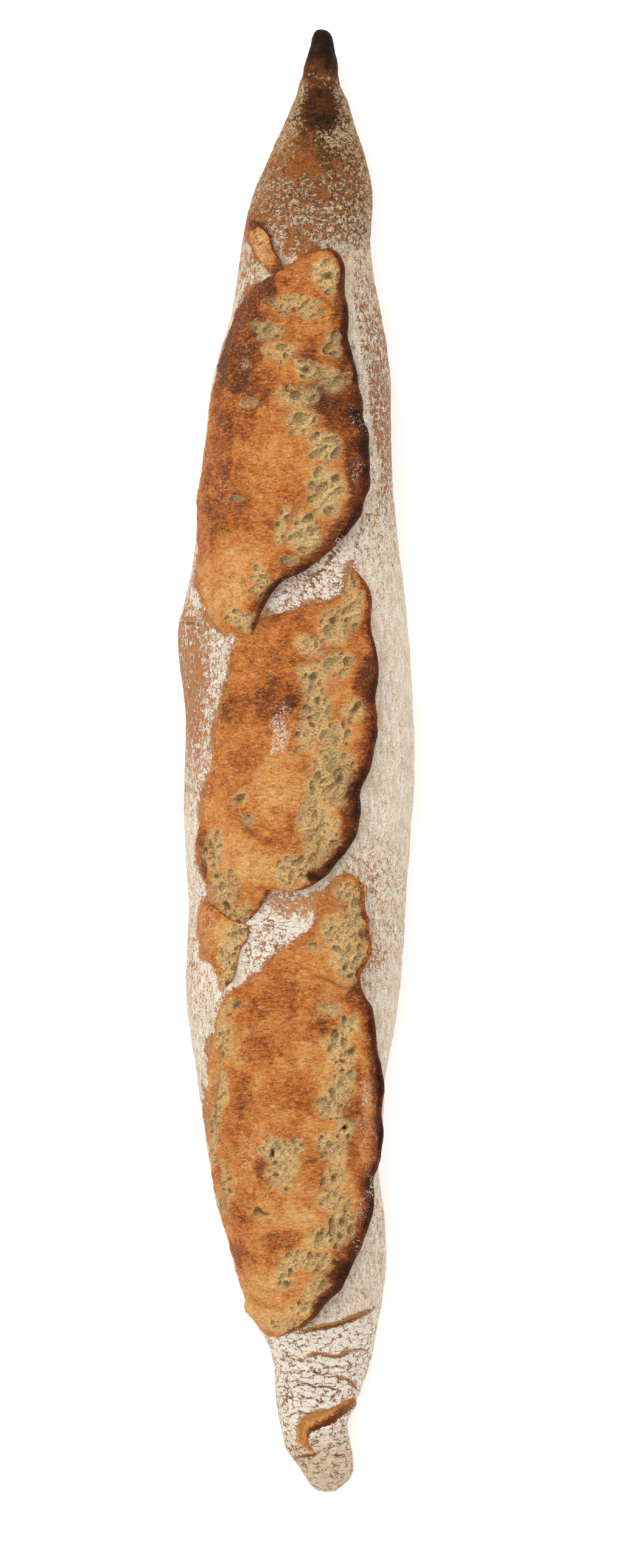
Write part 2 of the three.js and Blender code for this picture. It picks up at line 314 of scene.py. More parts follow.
nearPoint = {
    "name": "bloomNearPoint", "pallor": 0.62, "baked": 0.59,
    "lip": 5.6, "bulge": 3.0, "overhang": 3.0,
    "rim": [
        (7, 173.5), (12.2, 174), (16.4, 168), (16, 157.5), (18.4, 143), (21.6, 128.5), (23.6, 112),
        (25, 98.5), (23, 87), (15.6, 74.5), (5.8, 66), (-5.6, 60), (-11.6, 51), (-14, 45), (-16.5, 39),
    ],
    "seam": [
        (7, 173.5), (-4, 167), (-16.8, 158.8), (-23.2, 145), (-27.8, 128.5), (-30.4, 110), (-32.8, 87),
        (-33.5, 72), (-32, 54), (-25.6, 44.5), (-16.5, 39),
    ],
    "seed": 11,
    "lean": 0.35,  # which way the bubbles are drawn out
    # the scorched lip, whose darkness also paints shade into the hollow under it: y, how far it reaches in,
    # how dark
    "scorch": [
        (174, 0.3, 0.4), (160, 0.6, 0.7), (148, 0.8, 0.8), (135, 1.2, 0.9), (122, 2.2, 1),
        (108, 2.8, 1), (97, 2.4, 1), (88, 1.1, 0.7), (78, 1.3, 0.8), (66, 1.4, 0.7), (56, 1.0, 0.6),
        (45, 0.5, 0.5), (39, 0.1, 0),
    ],
    # creases: route, half width, depth, how dark their painted shade is
    "folds": [
        ([(-24, 141), (-26.5, 120), (-28, 98), (-28.5, 76)], 1.0, 0.35, 0.2),
        ([(-6, 83), (-1, 80), (4, 81)], 0.8, 0.4, 0.3),
        ([(2, 99), (8, 92), (12, 91)], 0.8, 0.5, 0.3),
        ([(-4, 163), (5, 158), (12, 157)], 0.9, 0.35, 0.2),
        ([(14, 122), (18, 118), (21, 119)], 1.3, 0.8, 0.6),
    ],
    # pockets of open crumb: x, y, half width, half length, strength
    "crumb": [
        (11.5, 164.5, 4.5, 5.5, 1), (-1.5, 155.5, 7, 3, 0.62), (6, 152.5, 4, 3.5, 0.6),
        (-9, 145.5, 4.5, 3, 0.66), (13, 141, 3.5, 5, 0.8), (-5.5, 138, 6, 3.5, 0.58),
        (4, 132.5, 3.5, 3, 0.66), (13, 129, 5.5, 3.5, 0.7), (0.5, 124, 7, 3.5, 0.68),
        (2.5, 115.5, 5.5, 5, 0.7), (10, 106.5, 5.5, 5, 1), (10, 91.5, 6, 8, 1), (-4.5, 79, 2.4, 6, 0.8),
        (4, 75.5, 4.6, 7, 1), (-11.5, 60.5, 3.2, 5.5, 0.7), (-18.5, 47.5, 6, 3, 0.8),
        (-9, 48.5, 4, 1.6, 0.5),
    ],
    # the largest bubbles: x, y, radius, depth
    "bubbles": [
        (11.3, 164.5, 2, 1), (-7, 156.5, 1.6, 0.5), (3.5, 154.5, 1.7, 0.8), (-4, 151.5, 1.7, 0.7),
        (-11, 62, 1.3, 0.6), (-9, 146, 2.7, 0.5), (4, 132.5, 1.7, 0.9), (1, 124, 2.5, 0.7),
        (14, 128.5, 2.7, 0.4), (2, 116, 3, 0.5), (10, 106, 1.1, 1), (7, 103.5, 2.5, 0.7),
        (14, 95.5, 2, 1), (8, 97, 2.5, 0.6), (6, 89, 2, 0.8), (12, 84, 2.5, 0.9),
        (-16, 121.5, 2.6, 0.4), (5, 77, 2, 0.6), (4, 71, 2, 0.5), (-2, 67.5, 2.6, 0.6),
        (-19.5, 89, 1.8, 0.6),
    ],
    # browner places and lighter golden places
    "toast": [
        (-26.5, 100, 4, 36, 0.4), (-17, 146, 6, 13.5, 1.6), (-13, 160, 6.5, 6.5, 1.2),
        (-21.5, 132, 4.5, 8, 1.2), (12, 124, 8, 6, 1.3), (16.5, 136, 2.5, 10, 0.8), (6, 135, 3, 8, 0.5),
        (15.5, 118, 5.5, 8.5, 0.7), (19.5, 106, 3, 14.5, 0.6), (-14, 126.5, 8, 5.5, 0.4),
        (-20, 116, 5, 8, 0.3), (-18.5, 85, 4.5, 8, 0.4), (-6.5, 162, 12.5, 2, 0.3),
    ],
    "glow": [
        (-24, 60, 9, 14.5, 1), (-14, 72.5, 8, 12.5, 0.6), (-9.5, 101.5, 10.5, 12.5, 0.35),
        (3, 101.5, 3.5, 12.5, 0.7), (-3.5, 76.5, 4, 6, 0.4),
    ],
    "dust": [
        (-18.5, 135, 1.7, 2.5, 0.8), (20.5, 116, 2, 6, 0.5), (22, 97.5, 2.2, 3.2, 0.8),
        (15.5, 74.5, 2.5, 2, 0.9), (-25, 95.5, 2, 12.5, 0.3), (-11.5, 165, 12.5, 1.7, 0.25),
    ],
}

middle = {
    "name": "bloomMiddle", "pallor": 0.35, "baked": 0.55,
    "lip": 4.6, "bulge": 3.0, "overhang": 2.6,
    "rim": [
        (18.6, 66.5), (23.6, 59.5), (25.3, 48.5), (27.9, 31), (26.7, 17.5), (27.1, 9), (24.8, -4),
        (22, -16), (20.4, -25.5), (15, -34), (9, -40.3), (-2.6, -44.4), (-9.6, -43.8), (-12, -50),
        (-18.4, -56.5),
    ],
    "seam": [
        (18.6, 66.5), (14.4, 55), (0.7, 51.5), (-11.7, 48.5), (-21.3, 39.2), (-24.2, 25), (-28.3, 3),
        (-31.5, -16), (-34.2, -31.5), (-29.6, -44), (-26.3, -51.5), (-18.4, -56.5),
    ],
    "seed": 23,
    "lean": 1.0,
    "scorch": [
        (67, 0.1, 0), (52, 0.4, 0.4), (40, 1.2, 0.6), (22, 1.5, 0.7), (5, 1.8, 0.75), (-8, 1.8, 0.8),
        (-20, 1.6, 0.8), (-30, 1.4, 0.8), (-37, 1.8, 0.9), (-40.5, 2.0, 1), (-42, 0.5, 0.3),
        (-44, 0.05, 0), (-57, 0.05, 0),
    ],
    "folds": [
        ([(-21, -19.7), (-15.3, -24.3), (-9.5, -30.1)], 1.3, 0.9, 0.5),
        ([(-31, -22), (-28.7, -31.4), (-27.5, -40.7)], 0.9, 0.6, 0.35),
        ([(12, 52), (14, 44), (11, 36)], 0.8, 0.4, 0.2),
    ],
    "crumb": [
        (18, 60, 3, 4.5, 0.9), (19.5, 51, 3.5, 6, 1), (13.5, 45.5, 5, 5.5, 1), (5.5, 39, 4, 3.5, 0.8),
        (13, 32, 5.5, 4, 0.9), (6, 25.5, 4.5, 6, 1), (7.5, 17.5, 4.5, 6, 0.9), (20, 16.5, 3.5, 4, 0.9),
        (6, 10, 6, 6, 1), (13.5, 8, 4.5, 5, 0.7), (13, -2.5, 7, 7, 1), (15, -10.5, 5, 5, 0.9),
        (7, -10.5, 4.5, 6, 0.9), (6, -19, 5, 6, 1), (9, -25, 6, 7.5, 1), (6.5, -35.5, 6, 7, 1),
        (-1.5, -37.5, 5.5, 6, 0.8), (-28, -31.5, 3, 8, 0.9), (-24, -44, 5.5, 5.5, 0.8),
        (-20, -52, 6, 4, 0.9), (-19.5, -12.5, 2.5, 2, 0.7), (-17, -20, 3, 2, 0.5),
    ],
    "bubbles": [
        (19, 52, 2.5, 0.7), (13.5, 47.5, 2, 1), (12, 44, 2.8, 0.8), (20.5, 45, 1.5, 0.8),
        (11.5, 32, 2.8, 0.7), (6, 28, 1.7, 1), (5.5, 24.5, 2, 0.8), (7, 20, 1.5, 0.9),
        (20.5, 17, 2.2, 1), (5.5, 11.5, 1.5, 1), (16.5, 12, 1.5, 1), (1.5, 4, 2, 0.6),
        (13, -2.5, 2.8, 0.6), (15.5, -5, 3, 1), (14.5, -7.5, 2, 0.9), (10.5, -11, 2, 0.8),
        (8, -24, 1.7, 0.7), (8, -30, 1.7, 0.8), (6, -33.5, 2.3, 0.9), (5.5, -39, 1.8, 1),
        (-3, -33.5, 1.4, 0.7), (-20, -13.5, 2.2, 1), (-17, -20, 1.6, 0.7), (-28, -36, 1.2, 0.8),
        (-27, -40, 1.4, 0.9), (-23.5, -50.5, 2.2, 1), (-19.5, 42, 1.9, 1), (-23, 45.5, 1.2, 0.7),
    ],
    "toast": [
        (-2, 20, 2.5, 3, 1), (-3.5, 31, 8, 12.5, 0.5), (-9.5, 18.5, 7, 8.5, 0.4),
        (22, 27, 3, 10.5, 0.5), (19.5, -17, 4, 5.5, 0.7), (18.5, -8.5, 3, 6, 0.5),
        (-18, -19, 4, 2.5, 0.4), (-12, -28, 4, 2.5, 0.5), (-31.5, -27, 1.7, 10.5, 0.5),
        (-32.5, -38.5, 1.7, 4, 0.7), (-20, 10, 5, 14, 0.35),
    ],
    "glow": [
        (-6, -7, 8, 10, 0.9), (-14, -35.5, 12.5, 6, 1), (-28, -19, 5, 6, 0.6),
        (15.5, 22.5, 4, 12.5, 0.5), (-20, -2.5, 7.5, 10.5, 0.35), (-18, -28, 7.5, 4, 0.8),
        (3, 39, 6, 4, 0.3),
    ],
    "dust": [
        (-5.5, 9, 2.2, 8, 1.3), (-3.5, 17.5, 2, 2.5, 0.8), (22.5, -14.5, 1.2, 6, 0.9),
        (13, -22, 1.2, 2, 0.9), (-5.5, 18.5, 3.5, 2, 0.4), (-13, -8.5, 6, 3, 0.25),
        (-9.5, 31, 4, 6, 0.2),
    ],
}

nearEnd = {
    "name": "bloomNearEnd", "pallor": 0.45, "baked": 0.47,
    "lip": 5.6, "bulge": 3.2, "overhang": 3.0,
    "rim": [
        (14.6, -38), (21, -39.2), (24.8, -52), (25.2, -63), (22, -75), (26, -86.5), (28.2, -101),
        (30.2, -112), (28.7, -120), (30.2, -130), (26.9, -141), (26.4, -148), (22.7, -163),
        (17, -176.5), (10.3, -186), (3.6, -192.5), (-3, -195.5), (-9, -198),
    ],
    "seam": [
        (14.6, -38), (8, -47), (6.5, -55), (-3.4, -63), (-13.8, -73), (-24.2, -80), (-28.8, -97),
        (-30, -120), (-29.6, -133), (-26.1, -151.5), (-20.9, -170.5), (-15.9, -187), (-9, -198),
    ],
    "seed": 37,
    "lean": 1.2,
    "scorch": [
        (-38, 0.05, 0), (-60, 0.1, 0), (-78, 0.2, 0.1), (-84, 0.8, 0.4), (-97, 1.2, 0.5),
        (-108, 2.4, 0.9), (-118, 1.8, 0.7), (-130, 2.8, 0.95), (-140, 1.8, 0.8), (-150, 2.0, 1),
        (-165, 1.9, 0.9), (-176, 2.7, 1), (-184, 1.8, 0.9), (-188, 0.3, 0.5), (-198, 0.05, 0),
    ],
    "folds": [
        ([(4, -73), (9, -74), (14.8, -76.2), (20.5, -78.5), (23, -82)], 0.8, 1.1, 0.5),
        ([(-21, -84), (-26.5, -102), (-28, -122), (-25.3, -145), (-20.5, -167)], 0.8, 0.7, 0.5),
        ([(-15.3, -153.4), (-11.8, -154.6), (-8.4, -154.4)], 0.9, 0.8, 0.7),
        ([(-19, -172), (-14.5, -179), (-5, -181.5)], 0.7, 0.4, 0.3),
        ([(-18, -179), (-13, -185), (-2, -187)], 0.7, 0.4, 0.3),
    ],
    "crumb": [
        (15.5, -44.5, 3.5, 3.5, 0.9), (21.5, -52, 5, 8.5, 1), (15.5, -58.5, 6, 7.5, 0.8),
        (19.5, -68.5, 6.5, 7, 1), (6, -63.5, 3, 2, 0.6), (11, -84.5, 4, 3, 0.6),
        (16.5, -89.5, 3, 3.5, 0.9), (14, -95, 3.5, 4, 0.8), (16.5, -101, 4, 3.5, 0.9),
        (16, -110.5, 4, 5, 1), (13, -117.5, 5, 4.5, 0.8), (17, -126, 3, 5, 1),
        (12, -133, 4.5, 5.5, 0.9), (13.5, -141.5, 4.5, 4, 0.9), (13, -149.5, 6, 4, 0.9),
        (15.5, -159, 5.5, 7, 1), (8.5, -163, 4.5, 3.5, 1), (9, -171.5, 5.5, 3.5, 0.9),
        (0.5, -169.5, 3.5, 3, 0.9), (-4, -175.5, 3, 3.5, 0.9), (8.5, -181, 4, 4, 1),
        (5, -186, 6, 3, 0.9), (-3, -192, 5, 2, 0.7), (-7, -133, 4.5, 3.5, 0.9),
        (-5, -140.5, 4.5, 5.5, 1), (-1.5, -132, 4, 3.5, 0.7), (-24.5, -91.5, 2.5, 10.5, 0.8),
        (-26, -112.5, 2, 10.5, 0.8), (-27.5, -127, 1.7, 10.5, 0.8), (-24, -145.5, 1.5, 10.5, 0.5),
    ],
    "bubbles": [
        (20.5, -49, 2.2, 0.7), (22.5, -53.5, 2.5, 0.7), (23, -59.5, 2, 0.9), (5.5, -63.5, 2, 0.6),
        (17.5, -70.5, 1.7, 0.9), (19.5, -73, 1.7, 0.9), (21.5, -64, 1.6, 0.8), (-20.5, -83, 1.6, 0.9),
        (16, -88, 1.3, 0.9), (19, -99, 2, 0.9), (16, -102.5, 1.3, 1), (15.5, -110.5, 1.8, 0.6),
        (17, -125, 1.4, 1.7), (18, -128.5, 1.2, 1), (11.5, -131, 1.6, 0.8), (13.5, -142, 1.9, 1),
        (16.5, -157, 2, 1), (15.5, -162, 1.8, 1), (14, -165.5, 1.5, 0.9), (8, -163.5, 2.5, 0.5),
        (9, -171.5, 1.9, 0.4), (-4.5, -176, 1.4, 0.8), (-3, -178.5, 1.6, 0.9), (-8.5, -134, 1.5, 1.4),
        (-7.5, -137, 1.2, 1), (-6.5, -141.5, 1.5, 1), (-3, -146.5, 1.2, 1), (-13.5, -154, 1.8, 1),
    ],
    "toast": [
        (-19, -111.5, 6, 8.5, 0.5), (-14, -100, 5.5, 5.5, 0.4), (-5.5, -83.5, 10.5, 5, 0.4),
        (-15, -87.5, 6, 4, 0.4), (-19, -154, 6, 8.5, 0.4), (-20, -168.5, 4, 6, 0.5),
        (-5.5, -163, 7, 2.5, 0.6), (3, -91.5, 8.5, 3, 0.4), (19.5, -106, 3.5, 4, 0.6),
        (21.5, -81, 3.5, 6, 0.7), (20.5, -122.5, 3, 8.5, 0.6), (19.5, -135, 3, 6, 0.5),
        (-18.5, -192.5, 4, 2, 0.8), (-11.5, -140.5, 1.7, 6, 0.6), (-1.5, -118.5, 8.5, 12.5, 0.2),
    ],
    "glow": [
        (-2, -190, 18, 6, 0.8), (-10, -178, 7, 8, 0.6), (0.5, -158, 8.5, 6, 0.8),
        (-6.5, -154, 10.5, 4, 0.4), (-9.5, -125, 6, 6, 0.3), (12, -106, 3.5, 12.5, 0.6),
        (2, -149.5, 8.5, 5, 0.5), (-16, -179, 6, 6, 0.3), (-22, -102, 3, 12.5, 0.3),
    ],
    "dust": [
        (-15.5, -135, 3.5, 6, 0.6), (-7.5, -133, 5.5, 3, 0.5), (-19.5, -100, 3, 5.5, 0.35),
        (23.5, -112.5, 1.7, 4.5, 1), (23.5, -125, 2, 8.5, 0.6), (24, -144.5, 2.2, 5, 0.9),
        (23, -154, 2, 6, 0.7), (20.5, -166.5, 2, 6, 0.5), (15.5, -185, 2, 3, 0.8),
        (-24, -122, 1.2, 1.2, 0.6),
    ],
}

pointSlit = {
    "name": "slitNearPoint", "pallor": 0.2, "baked": 0.5,
    "lip": 0.6, "bulge": 1.7, "overhang": 0.4, "depth": 3.5, "lipThickness": 1.6, "noseLength": 0.4,
    "rows": 150, "topColumns": 56, "waver": 0.5,
    "rim": [(-16, 184.5), (-9.6, 179.8), (-7.6, 173.8), (-4.4, 167.5), (-5, 162.5)],
    "seam": [(-16, 184.5), (-16.3, 180), (-14.5, 174.5), (-11.6, 168.5), (-5, 162.5)],
    "seed": 51,
    "lean": 0.3,
    "scorch": [(185, 0.5, 0.6), (180, 0.25, 0.4), (172, 0.2, 0.3), (163, 0.1, 0)],
    "folds": [
        ([(-15, 176), (-9, 177.5)], 0.5, 0.3, 0.35),
        ([(-13.5, 172.5), (-8.5, 174)], 0.5, 0.3, 0.35),
        ([(-12, 169), (-7, 170.5)], 0.5, 0.3, 0.3),
    ],
    "crumb": [(-13, 177, 2, 3, 0.5), (-10, 172, 1.6, 3, 0.4)],
    "bubbles": [(-14, 178, 0.5, 0.9), (-12.5, 179, 0.4, 0.9)],
    "toast": [(-7, 166, 4, 4, 0.7), (-15, 183, 3, 2, 1.2), (-9, 176, 1.5, 6, 0.5)],
    "glow": [(-12, 174.5, 5, 9, 0.9)],
    "dust": [(-15, 172, 2, 3, 0.3)],
}

sideSlit = {
    "name": "slitBeside", "pallor": 0.6, "baked": 0.45,
    "lip": 0.8, "bulge": 2.0, "overhang": 0.4, "depth": 3.5, "lipThickness": 1.8, "noseLength": 0.4,
    "rows": 150, "topColumns": 70, "waver": 0.4,
    "rim": [(-30.5, -48), (-23, -53.5), (-16.2, -57.5), (-18.8, -65), (-21.7, -74.3), (-24.8, -78)],
    "seam": [(-30.5, -48), (-32.8, -53), (-31, -62.7), (-27.7, -72), (-24.8, -78)],
    "seed": 67,
    "lean": 0.9,
    "scorch": [(-48, 0.1, 0), (-78, 0.1, 0)],
    "folds": [([(-22, -57), (-17.5, -60)], 0.4, 0.3, 0.3), ([(-22.5, -59.5), (-18, -62)], 0.4, 0.3, 0.3)],
    "crumb": [(-20.5, -60.5, 3.6, 4, 0.8), (-23, -68, 3.2, 5, 0.9), (-24.5, -74, 2.2, 3.5, 0.9)],
    "bubbles": [(-23, -67, 0.8, 0.8), (-24.5, -71, 0.7, 0.7), (-25.5, -75, 0.6, 0.7)],
    "toast": [(-30, -56, 2, 6, 0.3), (-27.5, -66, 1.2, 6, 0.4)],
    "glow": [(-22, -60, 8, 8, 0.9), (-25, -72, 4, 6, 0.6)],
    "dust": [(-31, -55, 2, 5, 0.7), (-19, -58.5, 3, 2, 0.6)],
}

openings = (nearPoint, middle, nearEnd, pointSlit, sideSlit)


foam = {
    # radii of the bubbles in open crumb, from the largest down
    "largest": 2.0,
    "smallest": 0.3,
    "sizes": 10,
    "crowding": 2.6,
    "apart": 0.03,
    # wide shallow pockets under the foam
    "pocketFrom": 2.5,
    "pocketShare": 0.8,
    "pocketDepth": 0.25,
    "pocketDarkness": -0.12,
    "namedDarkness": 0.45,
    # pinholes all over a bloom, for each millimetre of its length
    "pinholes": 1.2,
    "pinholeSizes": (0.2, 0.4),
    "stretch": (1.0, 1.5),
    "openDepth": 1.2,  # depths from which a bubble is an open hole painted dark with shade, or half open
    "halfOpenDepth": 0.85,
    "shadeTurn": 2.4,  # the direction of the walls that face away from the light, which are painted in shade
    "film": (0.13, 0.24),  # how dark films, and the painted shade on walls, are in pale bubbles, and what darkness adds
    "wallShade": (0.27, 0.5),
}


def packBubbles(look, rng):
    # a bubble's darkness sets its film and the painted shade on its walls
    # x, y, radius, depth and darkness of each bubble: wide shallow pockets, then a foam of smaller ones
    wide = [spot[:4] for spot in look["crumb"] if min(spot[2:4]) > foam["pocketFrom"]]
    pocket = (foam["pocketDepth"], foam["pocketDarkness"])
    pockets = [(cx, cy, foam["pocketShare"] * min(rx, ry), *pocket) for cx, cy, rx, ry in wide]
    known = [(bx, by, size, deep, foam["namedDarkness"]) for bx, by, size, deep in look["bubbles"]]
    spots = np.array([(b[0], b[1], b[2]) for b in known] + [(1e3, 1e3, 0)])
    for cx, cy, rx, ry, strength in look["crumb"]:
        largest = min(foam["largest"], 0.4 * min(rx, ry) + 0.3)
        for size in np.geomspace(largest, foam["smallest"], foam["sizes"]):
            for _ in range(int(foam["crowding"] * rx * ry / size**2) + 2):
                turn, out = rng.uniform(0, 2 * math.pi), math.sqrt(rng.uniform(0, 1.0))
                bx, by = cx + rx * out * math.cos(turn), cy + ry * out * math.sin(turn)
                radius = size * rng.uniform(0.8, 1.15)
                room = np.min(np.hypot(spots[:, 0] - bx, spots[:, 1] - by) - spots[:, 2])
                if room > radius + foam["apart"]:
                    spots = np.vstack([spots, (bx, by, radius)])
                    deep = rng.uniform(0.2, 0.8) * strength
                    known.append((bx, by, radius, deep, rng.uniform(0.0, 1.0) ** 1.4))
    left, right = min(p[0] for p in look["seam"]), max(p[0] for p in look["rim"])
    low, high = look["rim"][-1][1], look["rim"][0][1]
    for _ in range(int((high - low) * foam["pinholes"])):
        place = rng.uniform(left, right), rng.uniform(low, high)
        known.append((*place, rng.uniform(*foam["pinholeSizes"]), 0.5, 0.5))
    return pockets + known


def bubbleField(x, y, look):
    # how deep the bubbles are, how dark their films look with painted shade on their walls, and painted
    # shade in the darkest holes
    rng = np.random.default_rng(look["seed"])
    depth, clear, hole = np.zeros(x.shape), np.ones(x.shape), np.zeros(x.shape)
    for bx, by, size, deep, dark in packBubbles(look, rng):
        near = (np.abs(x - bx) < size * 2) & (np.abs(y - by) < size * 2)
        if not near.any():
            continue
        turn = look["lean"] + rng.normal(0, 0.5)
        stretch = rng.uniform(*foam["stretch"])
        phases = rng.uniform(0, 2 * math.pi, 3)
        dx, dy = x[near] - bx, y[near] - by
        far = dx * math.cos(turn) + dy * math.sin(turn)
        wide = dy * math.cos(turn) - dx * math.sin(turn)
        around = np.arctan2(wide, far)
        ragged = 1.03 + 0.12 * np.cos(2 * around + phases[0]) + 0.09 * np.cos(3 * around + phases[1])
        d = np.hypot(far / stretch, wide * stretch) / (size * ragged)
        # painted shade: each film darkens towards the wall that faces away from the light
        shadeTurn = foam["shadeTurn"] + 0.8 * (phases[2] - math.pi) / math.pi
        tilt = np.clip((dx * math.cos(shadeTurn) + dy * math.sin(shadeTurn)) / size, -1, 1)
        depth[near] = np.maximum(depth[near], deep * size**0.8 * 0.8 * np.clip(1 - d * d, 0, 1))
        wallShade = 0.45 * smoothStep(-0.8, 0.6, tilt)
        wallShade += 0.55 * smoothStep(0.3, 0.9, d) * smoothStep(-0.1, 0.8, tilt)
        film, side = (plain + added * dark for plain, added in (foam["film"], foam["wallShade"]))
        shade = (film + side * wallShade) * smoothStep(1.05, 0.8, d)
        clear[near] *= 1 - np.clip(shade, 0, 0.95)
        # painted shade: the deepest bubbles become dark holes, shifted away from the light
        if deep > foam["openDepth"]:
            hole[near] = np.maximum(hole[near], smoothStep(0.8, 0.25, d - 0.2 * tilt))
        elif deep > foam["halfOpenDepth"] and size < 2.3:
            hole[near] = np.maximum(hole[near], 0.55 * smoothStep(0.9, 0.2, d - 0.35 * tilt))
    return depth, 1 - clear, hole


def layOutBloom(look):
    # a bloom's columns, its seam and lip in plan, how far it has opened and how far the lip hangs over
    b = SimpleNamespace(s=bloomShape | look)
    s = b.s
    # columns run round the section: buried root, seam, top, nose of the lip, hollow under it, buried root
    top = 1 - (1 - np.linspace(0, 1, s["topColumns"] + 1)[1:]) ** s["lipCrowding"]
    b.v = np.array([0.5, 0, 0, *top] + [1] * (s["noseColumns"] + s["hollowColumns"] + 1) + [0.5])
    b.topEnd = 3 + s["topColumns"]
    b.noseEnd = b.topEnd + s["noseColumns"]
    b.hollowEnd = b.noseEnd + s["hollowColumns"]
    b.noise = lambda points, size, offset, layers: layeredNoise(points, size, s["seed"] + offset, layers)

    u = np.linspace(0, 1, s["rows"])
    rim, seam = alongRoute(s["rim"], u), alongRoute(s["seam"], u)
    b.width = np.hypot(*(rim - seam).T)
    b.outward = (rim - seam) / np.maximum(b.width, 1e-6)[:, None]
    b.outward[0], b.outward[-1] = b.outward[1], b.outward[-2]
    full = smoothStep(0, s["fullWidth"], b.width)
    # the lip is lumpy along its edge
    b.edge = np.stack([rim[:, 0], rim[:, 1], 0 * u], -1)
    rimWaver = b.noise(b.edge, 11.0, 0, 2) * s["waver"]
    b.rim = rim + b.outward * (rimWaver * full)[:, None]
    seamWaver = b.noise(np.stack([seam[:, 0], seam[:, 1], 0 * u], -1), 6.0, 5, 3) * s["seamWaver"]
    b.seam = seam + b.outward * (seamWaver * full)[:, None]
    ends = smoothStep(0, s["openFrom"], u) * (1 - smoothStep(s["closeFrom"], 1, u))
    b.opened = ends * np.clip(b.width / s["fullWidth"], 0, 1)
    b.lip = s["lip"] * b.opened * (1 + s["lipLumps"] * b.noise(b.edge, 16.0, 9, 2))
    b.reach = b.opened * np.minimum(s["overhang"], b.width * s["overhangShare"])
    return b


def bloomSheet(b):
    # every row's section, laid over the crust from the seam to the lip and back to the roots
    s, v = b.s, b.v
    foot = b.rim - b.outward * b.reach[:, None]
    angle = mix(angleOver(*b.seam.T)[:, None], angleOver(*foot.T)[:, None], v[None, :])
    y = mix(b.seam[:, 1:2], foot[:, 1:2], v[None, :])
    up = smoothStep(s["leanFrom"], s["leanTo"], v)[None, :, None]
    direction = mix(crustNormal(angle, y), np.array([0, 0, 1.0]), up)
    direction /= np.linalg.norm(direction, axis=-1, keepdims=True)

    rise, lean = np.zeros(angle.shape), np.zeros(angle.shape)
    nose = np.minimum(s["noseLength"], b.reach)
    behindNose = (b.reach - nose)[:, None]
    rise[:, [0, 1, -1, -2]] = -s["depth"]
    rise[:, 2] = -s["seamSink"]
    t = v[3 : b.topEnd][None, :]
    swell = b.opened[:, None] * s["bulge"] * np.sin(math.pi * t * s["swellReach"]) ** s["swellRoundness"]
    rise[:, 3 : b.topEnd] = swell + b.lip[:, None] * t ** s["lipCurl"]
    lean[:, 3 : b.topEnd] = behindNose * t**2
    thick = s["lipThickness"] * np.clip(b.opened, 0.05, 1)[:, None]
    lipTop = rise[:, b.topEnd - 1 : b.topEnd].copy()
    turn = np.linspace(math.pi / 2, -math.pi / 2, s["noseColumns"] + 1)[1:]
    rise[:, b.topEnd : b.noseEnd] = lipTop - thick / 2 + thick / 2 * np.sin(turn)
    lean[:, b.topEnd : b.noseEnd] = behindNose + nose[:, None] * np.cos(turn)
    back = np.linspace(0, 1, s["hollowColumns"] + 1)[1:]
    rise[:, b.noseEnd : b.hollowEnd] = (lipTop - thick) * mix(1, s["hollowLeft"], back)
    lean[:, b.noseEnd : b.hollowEnd] = behindNose * (1 - back)
    points = crustPoint(angle, y) + direction * rise[..., None]
    points[..., :2] += b.outward[:, None, :] * lean[..., None]
    return points, direction


def bloomFolds(b, x, y):
    # how deep the creases are pressed in, and the painted shade along them
    creased, dark = np.zeros(x.shape), np.zeros(x.shape)
    for route, wide, deep, shade in b.s["folds"]:
        d, side, share = nearRoute(x, y, route)
        taper = tapered(share)
        banks = np.exp(-(((d - 2.4 * wide) / (1.2 * wide)) ** 2))
        creased += deep * (np.exp(-((d / wide) ** 2)) - 0.5 * banks) * taper
        dark = np.maximum(dark, shade * np.exp(-((d / (wide * 0.8)) ** 2)) * taper)
    return creased, dark


def roughenBloom(b, points, direction):
    # relief on the top: soft lumps, fine wrinkles across, creases, and bubbles where the crumb lies open
    s = b.s
    x, y = points[..., 0], points[..., 1]
    b.grown = np.zeros(x.shape)
    b.grown[:, 3 : b.topEnd] = 1
    b.grown *= smoothStep(0, 0.05, b.v)[None, :]
    b.warp, warpAcross = b.noise(points, s["warpSize"], 40, 3), b.noise(points, s["warpSize"], 60, 3)
    b.x, b.y = x + s["warpReach"] * b.warp, y + s["warpReach"] * warpAcross
    depth, b.film, b.hole = bubbleField(x + 0.5 * b.warp, y + 0.5 * warpAcross, s)
    b.crumb = strongest(b.x, b.y, s["crumb"], 1.3)
    creased, b.foldDark = bloomFolds(b, x + 0.8 * b.warp, y + 0.8 * warpAcross)
    lumps = b.noise(points, s["lumpSize"], 20, 3) * s["lumpHeight"]
    ripples = b.noise(points + 2.0 * b.warp[..., None], s["rippleSize"], 30, 2) * s["rippleHeight"]
    pebbles = b.noise(points, s["pebbleSize"], 50, 2) * s["pebbleHeight"]
    normal = np.cross(np.gradient(points, axis=1), np.gradient(points, axis=0))
    size = np.linalg.norm(normal, axis=-1, keepdims=True)
    normal = np.where(size > 1e-9, normal / np.maximum(size, 1e-9), direction)
    normal *= np.sign(np.sum(normal * direction, -1, keepdims=True) + 1e-9)
    opened = b.opened[:, None]
    detail = ((lumps - s["crumbSink"] * b.crumb - creased) * opened + ripples + pebbles - depth) * b.grown
    onNose = np.zeros(x.shape)
    onNose[:, b.topEnd : b.noseEnd] = s["noseLumps"]
    detail += onNose * b.noise(points, 5.0, 70, 2) * opened
    return points + normal * detail[..., None]


